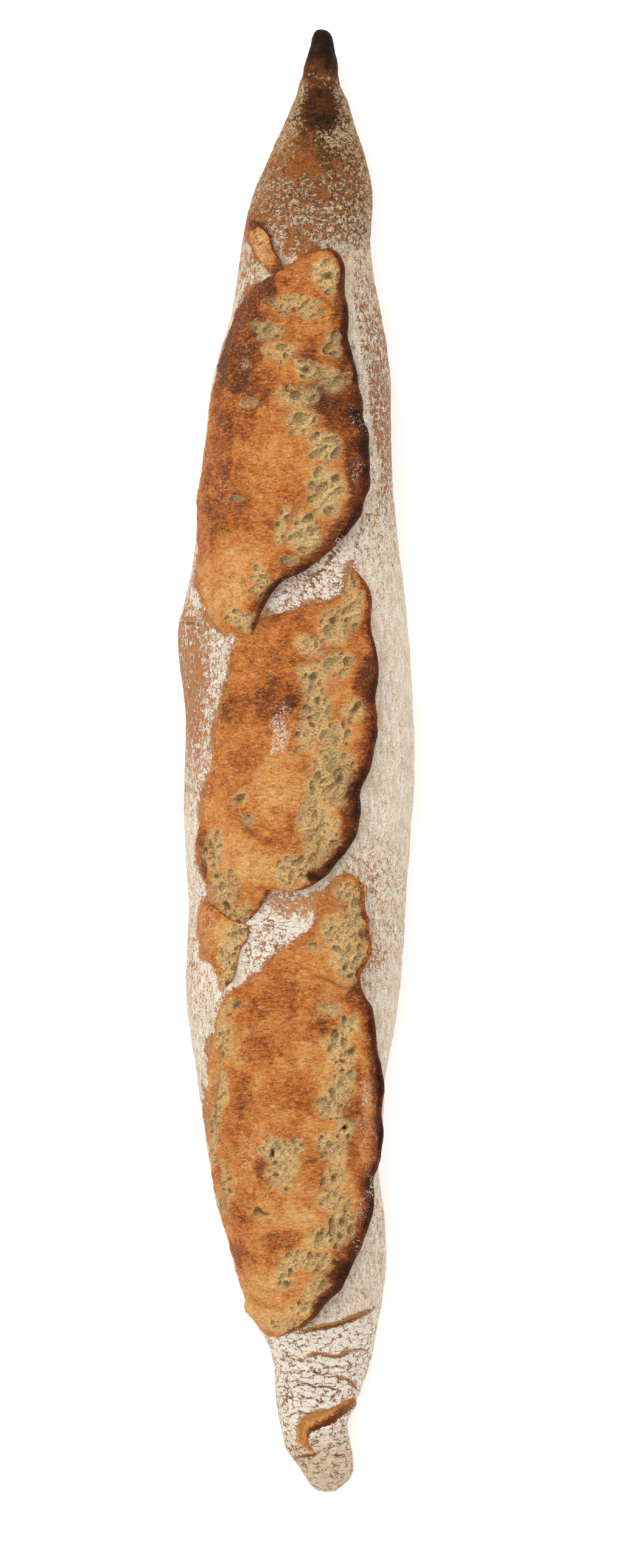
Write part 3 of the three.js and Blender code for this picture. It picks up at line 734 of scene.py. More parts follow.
def burnAndShadeOf(b, points):
    # how burnt the lip is, with painted shade in the hollow under it, and how brown the crust just inside
    # it
    toRim = (1 - b.v)[None, :] * b.width[:, None]
    places, reaches, darks = np.array(sorted(b.s["scorch"]), dtype=float).T
    reachIn = np.interp(b.rim[:, 1], places, reaches)[:, None]
    darkness = np.interp(b.rim[:, 1], places, darks)[:, None]
    darkness = darkness * np.clip(0.9 + 0.7 * b.noise(b.edge, 4.5, 85, 2)[:, None], 0.3, 1.1)
    speckle = b.noise(points, 1.6, 90, 2)
    wander = np.clip(0.9 + 0.7 * b.noise(b.edge, 7.0, 80, 3)[:, None] + 0.35 * speckle, 0.15, 2)
    scorchedAndShaded = smoothStep(2.1, 0.0, toRim / (reachIn * wander + 0.05))
    # the nose of the lip is painted burnt, and the hollow under it painted dark as shade
    lipSide = slice(b.topEnd, b.hollowEnd)
    lipBurnAndHollowShade = (0.8 + 0.2 * speckle[:, lipSide]) * smoothStep(0.3, 1.5, reachIn) * b.opened[:, None]
    scorchedAndShaded[:, lipSide] = np.maximum(scorchedAndShaded[:, lipSide], lipBurnAndHollowShade)
    scorchedAndShaded *= 0.25 + 0.75 * darkness
    browned = smoothStep(reachIn * 2.2 + 3.0, reachIn * 0.8, toRim + 1.5 * b.warp)
    return scorchedAndShaded, browned * np.minimum(1, 0.35 + reachIn * 0.5)


def bloomShades(b, points):
    # the values painted on a bloom, which its finish reads
    s = b.s
    scorchedAndShaded, browned = burnAndShadeOf(b, points)
    toast, glow, dust = (strongest(b.x, b.y, s[kind], 1.0) for kind in ("toast", "glow", "dust"))
    fromSeam = b.v[None, :] * b.width[:, None]
    fringe = smoothStep(2.0, 0.2, fromSeam + 0.9 * b.warp) * smoothStep(0.05, 0.2, b.opened)[:, None]
    return {
        "crumb": b.crumb * (1 - 0.8 * scorchedAndShaded) * (1 - 0.6 * browned) * b.grown,
        "pallor": np.full(b.crumb.shape, s["pallor"]),
        # films over the bubbles, with painted shade on their walls
        "film": b.film * b.grown,
        # painted shade in the deepest holes and along the creases
        "hole": np.maximum(b.hole, b.foldDark) * b.grown,
        "toast": np.clip(s["baked"] + 0.5 * toast - 0.34 * glow + 0.42 * browned, 0, 1),
        # the burnt lip, with painted shade in the hollow under it
        "scorchedAndShaded": scorchedAndShaded,
        "dust": np.maximum(dust, 0.5 * fringe),
    }


def makeBloom(look):
    b = layOutBloom(look)
    columns, rows = len(b.v), b.s["rows"]
    bpy.ops.mesh.primitive_grid_add(x_subdivisions=columns - 1, y_subdivisions=rows - 1, size=2)
    piece = bpy.context.active_object
    piece.name = look["name"]
    flat = getPlaces(piece)
    column = np.rint((flat[:, 0] + 1) / 2 * (columns - 1)).astype(int)
    row = np.rint((1 - flat[:, 1]) / 2 * (rows - 1)).astype(int)
    points = roughenBloom(b, *bloomSheet(b))
    setPlaces(piece, points[row, column])
    for name, values in bloomShades(b, points).items():
        tag(piece, name, values[row, column])
    piece.data.uv_layers[0].name = "OFBake"
    closeAndSmooth(piece, 2e-5)
    print(look["name"], "made,", len(piece.data.polygons), "faces", flush=True)
    return piece


blooms = [makeBloom(look) for look in openings]


# The floured crust.

flour = {
    "base": 0.74,
    "baseBrown": 0.45,
    "baseCrazed": 0.2,
    "bridges": [(4, 60, 18, 14, 1), (-8, -58, 16, 18, 1)],
    # x, y, half width, half length, how much of the crust is covered
    "cover": [
        (8, 250, 30, 12, -0.3), (9.5, 232.5, 4, 2.5, 0.45), (2, 228.5, 2.5, 3.5, 0.68),
        (15, 227.5, 2.5, 4, 0.6), (8, 226, 5, 4, 0.12), (8.5, 220, 6, 5, 0.0), (18, 216, 4, 8, 0.6),
        (-1.5, 221, 4, 3, 0.62), (-6, 213, 4, 6, 0.54), (9, 214.5, 3, 3, 0.58), (3.5, 212, 4, 4, 0.3),
        (5, 204, 12, 5, 0.26), (-9, 203, 4, 5, 0.45), (20, 204, 4, 7, 0.5), (-10, 194, 6, 6, 0.48),
        (-13, 186, 4, 4, 0.34), (5, 194, 8, 4, 0.38), (17, 194, 6, 6, 0.4), (-4, 186, 5, 5, 0.44),
        (8, 183, 6, 5, 0.42), (20, 182, 5, 8, 0.48), (0, 176, 6, 4, 0.34), (8, 176, 5, 3, 0.45),
        (-17, 166, 5, 8, 0.5), (22, 160, 5, 10, 0.54), (23, 146, 4, 16, 0.5), (28, 140, 6, 16, 0.43),
        (30, 116, 6, 12, 0.4), (31, 98, 6, 12, 0.42), (29, 80, 6, 8, 0.55), (34, 68, 6, 12, 0.74),
        (34, 20, 8, 46, 0.78), (34, -24, 8, 10, 0.72), (27, -40, 8, 10, 0.55), (33, -56, 6, 12, 0.64),
        (26, -66, 4, 10, 0.48), (33, -90, 6, 30, 0.74), (27, -160, 5, 14, 0.6), (24, -178, 8, 8, 0.68),
        (-35, 70, 4, 18, 0.6), (-38, 42, 5, 10, 0.36), (-35, 20, 5, 22, 0.3), (-28, 24, 3, 18, 0.58),
        (-31, 40, 4, 5, 0.45), (-35, -8, 5, 12, 0.55), (-37, -30, 4, 12, 0.74), (-37, -60, 4, 20, 0.54),
        (-33, -66, 3, 20, 0.58), (-33, -110, 4, 26, 0.62), (2, 62, 16, 10, 0.58),
        (0, -48.5, 9, 3.5, 0.36), (-13, -62, 9, 9, 0.6), (10, -197, 20, 4, 1.1), (5, -206, 20, 4, 1.0),
        (4, -214, 14, 5, 1.0), (-3, -220, 6, 6, 0.86), (12, -229, 10, 8, 1.05), (12, -243, 12, 6, 0.86),
        (24, -188, 6, 6, 0.85), (-3, -207, 2, 6, 0.36), (8, -205, 6, 3, 0.5), (13, -199.6, 3, 2, 0.36),
        (21, -208, 2, 4, 0.42), (-6, -219, 2, 7, 0.36), (25, -193, 1.5, 4, 0.4),
        (2, -194.5, 4, 1.5, 0.45),
    ],
    # how brown the bare crust is: 0 golden, 1 red brown, 2 nearly burnt
    "brown": [
        (9, 252, 30, 10, 3.0), (12, 240, 8, 6, 2.6), (6.5, 236.5, 2.5, 2.5, 1.2),
        (9.5, 232.5, 3, 2, 1.3), (9, 227, 6, 4, 2.2), (9, 219, 7, 6, 2.5), (4, 212, 4, 4, 1.5),
        (13, 209, 5, 6, 2.2), (0, 220, 3, 4, 1.5), (5, 203, 12, 5, 1.25), (16, 200, 5, 5, 1.5),
        (6, 192, 14, 8, 1.5), (-12, 187, 5, 6, 1.1), (10, 180, 14, 8, 1.35), (0, 176, 6, 4, 0.8),
        (20, 190, 4, 20, 1.6), (-17, 164, 6, 8, 0.9), (-33, 24, 6, 14, 0.7), (-35, 46, 5, 8, 0.75),
        (6, -208, 16, 10, 0.85), (-5, -218, 4, 10, 0.5), (27, 136, 8, 30, 1.15), (31, 98, 6, 20, 0.9),
        (34, 20, 10, 60, 0.25), (-36, 30, 8, 40, 0.55), (0, -50, 16, 12, 0.0), (8, -220, 30, 30, 0.5),
        (12, -246, 12, 6, 0.35),
    ],
    # where the flour has crazed into scales
    "crazed": [
        (8, -214, 30, 24, 1.0), (30, 84, 8, 26, 0.9), (4, 62, 16, 8, 0.9), (30, -40, 10, 24, 0.8),
        (34, 10, 8, 40, -0.1), (-12, -60, 9, 10, 0.8), (28, 120, 8, 20, 0.6), (27, -170, 8, 12, 0.4),
    ],
}

# open cracks, creases: route, half width, depth, how golden inside, how dark the painted shadow to the
# right
cracks = [
    ([(1, -195), (6, -193.5), (13, -191.9), (20, -190), (27, -186.6)], 0.8, 1.2, 1.0, 0.9),
    ([(5, -235.6), (3.2, -233.6), (2.3, -230), (3.6, -226.8), (7.2, -224.9), (11.5, -223),
      (15.9, -220.5), (21.5, -217.6)], 2.2, 2.2, 1.0, 1),
    ([(-3.6, -204.9), (1, -204.1), (4, -203.2), (8, -202.4), (14.9, -202.9), (20, -201.2),
      (25.4, -201.5)], 0.45, 0.6, 0.75, 0.6),
    ([(-7, -214.5), (-4.5, -213.8), (-2.6, -214.6), (0.1, -213.3), (4.5, -212.6), (7, -213.4),
      (11.5, -213.7), (15, -215.4), (18.4, -216.1)], 0.18, 0.5, 0.15, 0.25),
    ([(13.2, -209.1), (15, -210.6), (17.5, -211.4), (20, -213.6), (21.9, -214.7)], 0.5, 0.5, 0.8, 0.6),
    ([(1.8, -216.6), (4, -217.6), (6.1, -217.2), (8, -218.4), (10.5, -218.2)], 0.15, 0.4, 0.1, 0.25),
    ([(-6, -224.6), (-2.6, -223.8), (1.8, -222.4), (5, -222.6), (8.8, -221.6)], 0.18, 0.4, 0.3, 0.25),
    ([(-2, -239), (1.8, -237.6), (5, -236.9), (8.8, -235.3)], 0.4, 0.5, 0.6, 0.7),
    ([(9, -236.4), (13, -233.8), (16.7, -232.2), (18.5, -230.4)], 0.18, 0.5, 0.3, 0.25),
    ([(-6, -209.4), (-3, -208.6), (0, -209.4), (2.4, -208.2)], 0.14, 0.3, 0.1, 0.25),
    ([(-6.6, -217.6), (-3, -217), (-1, -218.2), (2, -218)], 0.15, 0.3, 0.1, 0.25),
    ([(9, -206.2), (12, -207.4), (14, -206.6), (17.6, -207.6), (20, -207)], 0.14, 0.3, 0.1, 0.25),
    ([(4, -220.2), (7, -219.6), (9, -220.6)], 0.14, 0.3, 0.1, 0.25),
    ([(12, -230.8), (14.6, -229.4), (17.6, -229.8)], 0.15, 0.3, 0.1, 0.25),
    ([(13, -238.6), (15.4, -237), (18, -237.2)], 0.2, 0.3, 0.1, 0.25),
    ([(11.4, -218.6), (12.6, -216.4), (15.4, -215.4)], 0.18, 0.4, 0.2, 0.25),
    ([(3, -209), (6, -208), (8.4, -209.4), (12, -209)], 0.2, 0.3, 0.1, 0.25),
    ([(-2, 221.6), (2, 224.2), (6.7, 225.8), (11, 225.3), (14.8, 225.5)], 0.15, 0.5, 0.0, 0.25),
    ([(-3.6, 217.8), (0, 220), (3.2, 220.6), (9.6, 221.2), (17.4, 220.4)], 0.21, 0.6, 0.0, 0.25),
    ([(1, 223.6), (5, 223.2), (9, 223.9), (13, 223.2)], 0.15, 0.3, 0.0, 0.25),
    ([(2.2, 234.4), (5.4, 232.6), (9.0, 231.3)], 0.5, 0.3, 0.0, 0.8),
    ([(-39.6, 47.2), (-36, 46.6), (-31.8, 45.4)], 0.3, 0.5, 0.3, 0.4),
    ([(17, 82), (16, 74), (10, 66), (2, 58), (-3, 55)], 0.21, 0.5, 0.4, 0.25),
    ([(9.5, 71.5), (6, 65), (1.5, 60.5)], 0.18, 0.4, 0.3, 0.25),
    ([(14, 78), (12, 70), (7.6, 64), (1, 57.5)], 0.16, 0.3, 0.2, 0.25),
    ([(3, 70), (1, 64), (-3, 59), (-6, 55)], 0.14, 0.3, 0.2, 0.25),
    ([(20, 73), (15, 70), (11, 66), (8, 60)], 0.14, 0.3, 0.2, 0.25),
    ([(-8, -55), (-11, -60), (-15, -62), (-19, -68)], 0.2, 0.3, 0.3, 0.25),
    ([(-1, -53), (-5, -58), (-6, -63), (-11, -68)], 0.16, 0.3, 0.3, 0.25),
    ([(22, -34), (26, -38), (25, -43), (28.6, -47)], 0.2, 0.3, 0.4, 0.25),
    ([(25.6, -56), (29, -62), (28, -68), (31, -75)], 0.15, 0.3, 0.6, 0.25),
    ([(22, 86), (22.6, 80), (21.4, 74), (19, 67)], 0.15, 0.4, 0.4, 0.25),
]


def crustBall():
    # a ball whose poles lie along Y: the angle round the loaf and the place along it of every vertex
    bpy.ops.mesh.primitive_uv_sphere_add(segments=crust["segments"], ring_count=crust["rings"], radius=1)
    piece = bpy.context.active_object
    piece.name = "crust"
    bpy.ops.object.mode_set(mode="EDIT")
    bpy.ops.mesh.select_all(action="SELECT")
    bpy.ops.transform.rotate(value=math.pi / 2, orient_axis="X", center_override=(0, 0, 0))
    bpy.ops.object.mode_set(mode="OBJECT")
    ball = getPlaces(piece)
    if abs(ball[:, 1]).max() < 0.999:
        raise SystemExit("the ball's poles should lie along Y")
    polar = np.arccos(np.clip(ball[:, 1], -1, 1))
    y = crust["halfLength"] * mix(1 - 2 * polar / math.pi, np.cos(polar), crust["endCrowding"])
    turn = np.arctan2(ball[:, 2], ball[:, 0]) / (2 * math.pi) % 1
    # the upper side has most of the columns, and they come first
    topShare, reach = crust["topShare"], crust["topReach"]
    fromRight = (turn + (topShare - 0.5) / 2) % 1
    right, left, rightAgain = -reach * math.pi, (1 + reach) * math.pi, (2 - reach) * math.pi
    angle = np.where(
        fromRight < topShare,
        mix(right, left, fromRight / topShare),
        mix(left, rightAgain, (fromRight - topShare) / (1 - topShare)),
    )
    return piece, angle, y


def cutCracks(x, y, topSide, warp, warpAcross):
    # how the cracks change the relief, and for every place the nearest crack's edge, side and look
    relief = np.zeros(len(x))
    edge, side, gold, shadow = np.full(len(x), 9.0), np.zeros(len(x)), np.zeros(len(x)), np.zeros(len(x))
    for route, halfWide, deep, golden, dark in cracks:
        d, turn, share = nearRoute(x + 0.5 * warp, y + 0.5 * warpAcross, route, 0.5)
        taper = tapered(share)
        wide = halfWide * taper * (1 + 0.4 * warp) + 0.05
        bank = np.exp(-(((d - 1.5 * wide) / (0.8 * wide)) ** 2)) * taper
        relief += deep * topSide * (0.45 * bank - np.clip(1 - (d / wide) ** 2, 0, 1))
        nearer = d - wide < edge
        edge = np.where(nearer, d - wide, edge)
        side = np.where(nearer, -turn * d / np.maximum(wide, 0.3), side)
        gold = np.where(nearer, golden, gold)
        shadow = np.where(nearer, dark * taper, shadow)
    shades = {
        "crackEdge": 2 + mix(2.0, edge, topSide),
        "crackSide": 2 + np.clip(side, -2, 2),
        "crackGold": gold,
        "crackShadow": shadow,
    }
    return relief, shades


def makeCrust():
    piece, angle, y = crustBall()
    points = crustPoint(angle, y)
    end = crust["halfLength"] - 0.1
    normal = crustNormal(angle, np.clip(y, -end, end))
    x = points[:, 0]
    topSide = smoothStep(-0.25, 0.1, np.sin(angle))
    warp, warpAcross = layeredNoise(points, 6.0, 301, 2), layeredNoise(points, 6.0, 311, 2)
    wx, wy = x + 1.2 * warp, y + 1.2 * warpAcross

    detail = sum(layeredNoise(points, *field) * height for height, *field in crust["relief"])
    # rings that were pulled round the pointed end, and the swirl of the blunt one
    rings = softNoise(np.stack([x * 0.1, y, 0 * y], -1), (6, 2.6, 6), 351)
    detail += smoothStep(205, 232, y) * 0.12 * rings
    toEnd = smoothStep(-226, -238, y)
    swirl = np.hypot(x - 13, (y + 240) * 1.3)
    detail += toEnd * 0.35 * np.sin(swirl * 1.7 + 1.5 * warp) * smoothStep(13, 6, swirl)
    relief, crackShades = cutCracks(x, y, topSide, warp, warpAcross)
    detail += relief
    # the crust sinks under every bloom, and lies bare along its seam
    bareLine = np.zeros(len(x))
    for look in openings:
        d, side, share = nearRoute(x, y, look["seam"], 2.0)
        within = (side > 0) * smoothStep(0.01, 0.04, share) * smoothStep(0.99, 0.96, share)
        detail -= 1.4 * within * smoothStep(0.2, 1.6, d) * smoothStep(8, 5, d) * topSide
        bareLine = np.maximum(bareLine, smoothStep(1.6, 0.0, d + 1.3 * warp + 0.5 * warpAcross) * topSide)
    detail *= 1 - smoothStep(6.0, 1.5, points[:, 2]) * (np.sin(angle) < 0)
    points = points + normal * detail[:, None]
    points[:, 2] = np.maximum(points[:, 2], 0)
    setPlaces(piece, points)

    # a pale line runs along the first lip
    d, side, share = nearRoute(x, y, nearPoint["rim"][2:11])
    paleLine = smoothStep(2.2, 0.6, np.abs(d - 1.6) + 0.5 * warp) * topSide
    below = smoothStep(-0.05, -0.8, np.sin(angle) + 0.25 * warp)
    cover = blended(wx, wy, flour["base"], flour["cover"])
    cover = np.clip(cover + 0.2 * paleLine - 0.3 * bareLine, 0, 1.2)
    inEnd, inPoint = smoothStep(-184, -196, y), smoothStep(166, 180, y)
    onBridge = strongest(x, y, flour["bridges"], 1.0)
    shades = crackShades | {
        "cover": cover * (1 - 0.55 * below),
        "brown": mix(blended(wx, wy, flour["baseBrown"], flour["brown"]), 0.55, below),
        "crazed": blended(wx, wy, flour["baseCrazed"], flour["crazed"]) * (1 - below),
        "streaky": 1 - inEnd - inPoint - onBridge,
        "fine": inPoint,
        "aged": smoothStep(130, 215, y) + 0.6 * toEnd,
        "below": below,
    }
    for name, values in shades.items():
        tag(piece, name, values)
    piece.data.uv_layers[0].name = "OFBake"
    closeAndSmooth(piece, 1e-6)
    print("crust made,", len(piece.data.polygons), "faces")
    return piece


crustPiece = makeCrust()


# The finishes.


def tone(*channels):
    # a colour from its levels of red, green and blue on a screen, 0 to 255
    shares = [v / 255 for v in channels]
    return tuple(v / 12.92 if v <= 0.04045 else ((v + 0.055) / 1.055) ** 2.4 for v in shares) + (1.0,)


class Finish:
    # a material and short ways to add and join its nodes; look holds its tones, fields, swings and steps
    def __init__(self, name, look):
        self.material = bpy.data.materials.new(name)
        self.material.use_nodes = True
        self.nodes = self.material.node_tree.nodes
        self.links = self.material.node_tree.links
        self.shader = self.nodes["Principled BSDF"]
        self.look = look
        self.places = {}
        self.fields = {key: self.noise(*field) for key, field in look["fields"].items()}

    def put(self, socket, value):
        if isinstance(value, bpy.types.NodeSocket):
            self.links.new(value, socket)
        else:
            socket.default_value = value

    def node(self, kind, inputs, **settings):
        made = self.nodes.new("ShaderNode" + kind)
        for name, value in settings.items():
            setattr(made, name, value)
        for key, value in inputs.items():
            self.put(made.inputs[key], value)
        return made

    def coords(self, stretch=(1, 1, 1), turn=0.0):
        # places in millimetres, stretched and turned
        if (stretch, turn) not in self.places:
            plain = self.nodes.new("ShaderNodeTexCoord").outputs["Object"]
            inputs = {"Vector": plain, "Rotation": (0, 0, turn), "Scale": [k / mm for k in stretch]}
            self.places[stretch, turn] = self.node("Mapping", inputs).outputs["Vector"]
        return self.places[stretch, turn]

    def painted(self, name):
        return self.node("Attribute", {}, attribute_name=name).outputs["Fac"]

    def noise(self, scale, detail, roughness, distortion=0.0, stretch=(1, 1, 1), turn=0.0, output="Fac"):
        inputs = {"Vector": self.coords(stretch, turn), "Scale": scale, "Detail": detail}
        inputs |= {"Roughness": roughness, "Distortion": distortion}
        return self.node("TexNoise", inputs).outputs[output]

    def shifted(self, vector, shift, reach):
        # places moved by a coloured noise, in millimetres
        push = self.node("VectorMath", {0: shift, "Scale": reach}, operation="SCALE")
        return self.node("VectorMath", {0: vector, 1: push.outputs[0]}, operation="ADD").outputs[0]

    def cells(self, vector, scale):
        # how far a place is from the nearest edge between cells
        inputs = {"Vector": vector, "Scale": scale}
        return self.node("TexVoronoi", inputs, feature="DISTANCE_TO_EDGE").outputs["Distance"]

    def math(self, operation, a, b, clamp=False):
        return self.node("Math", {0: a, 1: b}, operation=operation, use_clamp=clamp).outputs[0]

    def times(self, first, *others):
        for other in others:
            first = self.math("MULTIPLY", first, other)
        return first

    def swing(self, name, base):
        # a value that fields push up and down, each by its strength
        for field, strength in self.look["swings"][name].items():
            push = self.times(self.math("SUBTRACT", self.fields[field], 0.5), strength)
            base = self.math("ADD", base, push)
        return base

    def remap(self, value, low, high, start=0.0, end=1.0):
        inputs = {"Value": value, "From Min": low, "From Max": high, "To Min": start, "To Max": end}
        return self.node("MapRange", inputs, interpolation_type="SMOOTHSTEP").outputs["Result"]

    def step(self, name, value):
        # a soft step between two levels of a value
        return self.remap(value, *self.look["steps"][name])

    def blend(self, share, a, b):
        return self.node("Mix", {"Factor": share, 2: a, 3: b}).outputs[0]

    def paint(self, share, a, b):
        # colour b over colour a, where a tone may be given by its name
        a, b = (self.look["tones"][c] if isinstance(c, str) else c for c in (a, b))
        return self.node("Mix", {"Factor": share, 6: a, 7: b}, data_type="RGBA").outputs[2]

    def ramp(self, value, stops):
        node = self.node("ValToRGB", {"Fac": value})
        elements = node.color_ramp.elements
        while len(elements) < len(stops):
            elements.new(0.5)
        for element, (name, at) in zip(elements, stops.items()):
            element.position = at
            element.color = self.look["tones"][name]
        return node.outputs["Color"]

    def bump(self, heights):
        # relief from several heights, each with its depth in millimetres
        normal = None
        for height, depth in heights:
            inputs = {"Height": height, "Distance": depth * mm, "Strength": 1.0}
            if normal is not None:
                inputs["Normal"] = normal
            normal = self.node("Bump", inputs).outputs["Normal"]
        self.put(self.shader.inputs["Normal"], normal)


goldenLook = {
    "tones": {
        "honey": tone(246, 192, 118),
        "gold": tone(236, 157, 80),
        "amber": tone(212, 119, 44),
        "rust": tone(158, 78, 28),
        "umber": tone(98, 46, 18),
        "fleck": tone(252, 206, 150),
        "crumb": tone(250, 210, 132),
        # films over the bubbles; their darkest tones are painted shade on the walls
        "filmLight": tone(252, 220, 158),
        "film": tone(192, 152, 98),
        "filmDark": tone(112, 80, 48),
        "paleLight": tone(244, 214, 152),
        "pale": tone(158, 132, 88),
        "paleDark": tone(78, 62, 42),
        "glint": tone(236, 224, 198),
        # painted shade in holes and creases
        "hole": tone(48, 36, 24),
        # burnt tones, which also paint shade in the hollow under the lip
        "singed": tone(158, 82, 34),
        "scorch": tone(112, 54, 26),
        "scorchDeep": tone(58, 32, 22),
        "dust": tone(255, 242, 222),
    },
    # noises: scale, detail, roughness, distortion, stretch, turn
    "fields": {
        "broad": (0.085, 4, 0.6),
        "patches": (0.3, 5, 0.62, 0.5),
        "streaks": (0.8, 5, 0.65, 0.6, (0.5, 1.1, 0.7), 0.2),
        "fibres": (1.3, 5, 0.68, 0.5, (0.45, 1.4, 0.8), -0.15),
        "grain": (1.9, 4, 0.65),
        "fleck": (1.3, 5, 0.7, 0.4, (0.7, 1.2, 0.9), -0.3),
        "dough": (0.9, 5, 0.65),
        "foamSize": (0.45, 2, 0.5),
        "mottle": (1.6, 4, 0.65),
        "glint": (2.6, 2, 0.5),
        "specks": (1.4, 6, 0.8, 0.3),
    },
    # how strongly fields push a value up and down
    "swings": {
        "warmth": {"broad": 1.0, "patches": 0.5, "streaks": 1.0, "fibres": 1.2, "grain": 0.6},
        "crumb": {"streaks": 0.5, "patches": 0.5}, "film": {"mottle": 1.3},
        "scorchedAndShaded": {"patches": 0.8, "grain": 0.9, "fleck": 0.8},
    },
    # soft steps: where they start and end, and the shares there
    "steps": {
        "fleck": (0.5, 0.6), "fleckShare": (0.35, 0.85, 0.5, 0.2), "crumb": (0.0, 1.1),
        "crumbShare": (0, 1, 0.4, 0.85), "dough": (0.42, 0.62), "doughShare": (0, 1, 0.3, 1.0),
        "openCrumb": (0.45, 1.0), "foamSize": (0.45, 0.55), "foam": (0.1, 0.4, 0.0, 0.5),
        "web": (0.03, 0.16, 0.45, 0.0), "film": (0.04, 0.5, 0.0, 0.92),
        "glint": (0.61, 0.69, 0.0, 0.55), "glintShare": (0.0, 0.4, 0.15, 1.0), "hole": (0.05, 1.0),
        "scorchedAndShaded": (0.03, 0.4, 0.0, 0.95), "dust": (0.625, 0.645), "roughness": (0, 1, 0.55, 0.8),
    },
    # ramps: how far along each tone lies
    "crustRamp": {"honey": 0.05, "gold": 0.31, "amber": 0.57, "rust": 0.82, "umber": 1.0},
    # film and pale tones: the darkest stops are painted shade on walls that face away from the light
    "filmRamp": {"filmLight": 0.1, "film": 0.45, "filmDark": 0.9},
    "paleRamp": {"paleLight": 0.1, "pale": 0.45, "paleDark": 0.9},
    "scorchRamp": {"singed": 0.15, "scorch": 0.5, "scorchDeep": 0.95},
    "foamStretch": ((0.8, 1.25, 1.0), -0.4),
    "foamBend": (0.7, 4, 0.5),
    "foamReach": 1.6,
    "foamScales": (0.62, 1.25),
    "dustGain": 0.1,
    "dustShare": 0.8,
    "bumps": {"streaks": 0.6, "fibres": 0.25, "grain": 0.3, "flake": 0.1},
    "shine": 0.08,
}


def openCrumb(f, colour, crumbEdge, crumb, pallor):
    # yellow webs round pockets of foam, with darker films across the bubbles, and painted shade and glints
    look = f.look
    colour = f.paint(f.times(crumb, f.step("crumbShare", pallor)), colour, "crumb")
    dough = f.times(f.step("dough", f.fields["dough"]), crumb, f.step("doughShare", pallor))
    colour = f.paint(dough, colour, f.paint(pallor, "filmLight", "paleLight"))
    bend = f.noise(*look["foamBend"], output="Color")
    places = f.shifted(f.coords(*look["foamStretch"]), bend, look["foamReach"])
    wide, fine = (f.cells(places, scale) for scale in look["foamScales"])
    foam = f.paint(f.step("foamSize", f.fields["foamSize"]), wide, fine)
    opened = f.step("openCrumb", crumbEdge)
    colour = f.paint(f.times(opened, f.step("foam", foam)), colour, f.paint(pallor, "film", "pale"))
    # the films carry painted shade on the bubbles' walls
    film = f.painted("film")
    mottled = f.swing("film", film)
    films = f.paint(pallor, f.ramp(mottled, look["filmRamp"]), f.ramp(mottled, look["paleRamp"]))
    colour = f.paint(f.step("film", film), colour, films)
    web = f.times(f.step("web", foam), opened)
    colour = f.paint(web, colour, f.paint(pallor, "crumb", "paleLight"))
    glint = f.times(f.step("glint", f.fields["glint"]), f.step("glintShare", film))
    colour = f.paint(glint, colour, "glint")
    # painted shade in the holes and creases
    return f.paint(f.step("hole", f.painted("hole")), colour, "hole")


def goldenFinish():
    look = goldenLook
    f = Finish("goldenCrumb", look)
    warmth = f.swing("warmth", f.painted("toast"))
    flake = f.step("fleck", f.fields["fleck"])
    colour = f.ramp(warmth, look["crustRamp"])
    colour = f.paint(f.times(flake, f.step("fleckShare", warmth)), colour, "fleck")
    crumbEdge = f.swing("crumb", f.painted("crumb"))
    crumb = f.step("crumb", crumbEdge)
    colour = openCrumb(f, colour, crumbEdge, crumb, f.painted("pallor"))
    # the burnt lip, and painted shade in the hollow under it
    scorchedAndShaded = f.swing("scorchedAndShaded", f.painted("scorchedAndShaded"))
    colour = f.paint(f.step("scorchedAndShaded", scorchedAndShaded), colour, f.ramp(scorchedAndShaded, look["scorchRamp"]))
    # flour caught on the crust
    dust = f.math("ADD", f.fields["specks"], f.times(f.painted("dust"), look["dustGain"]))
    dusted = f.step("dust", dust)
    colour = f.paint(f.times(dusted, look["dustShare"]), colour, "dust")
    f.put(f.shader.inputs["Base Color"], colour)
    f.put(f.shader.inputs["Roughness"], f.step("roughness", f.math("ADD", dusted, crumb)))
    f.shader.inputs["Specular IOR Level"].default_value = look["shine"]
    f.fields["flake"] = flake
    f.bump([(f.fields[name], depth) for name, depth in look["bumps"].items()])
    return f.material


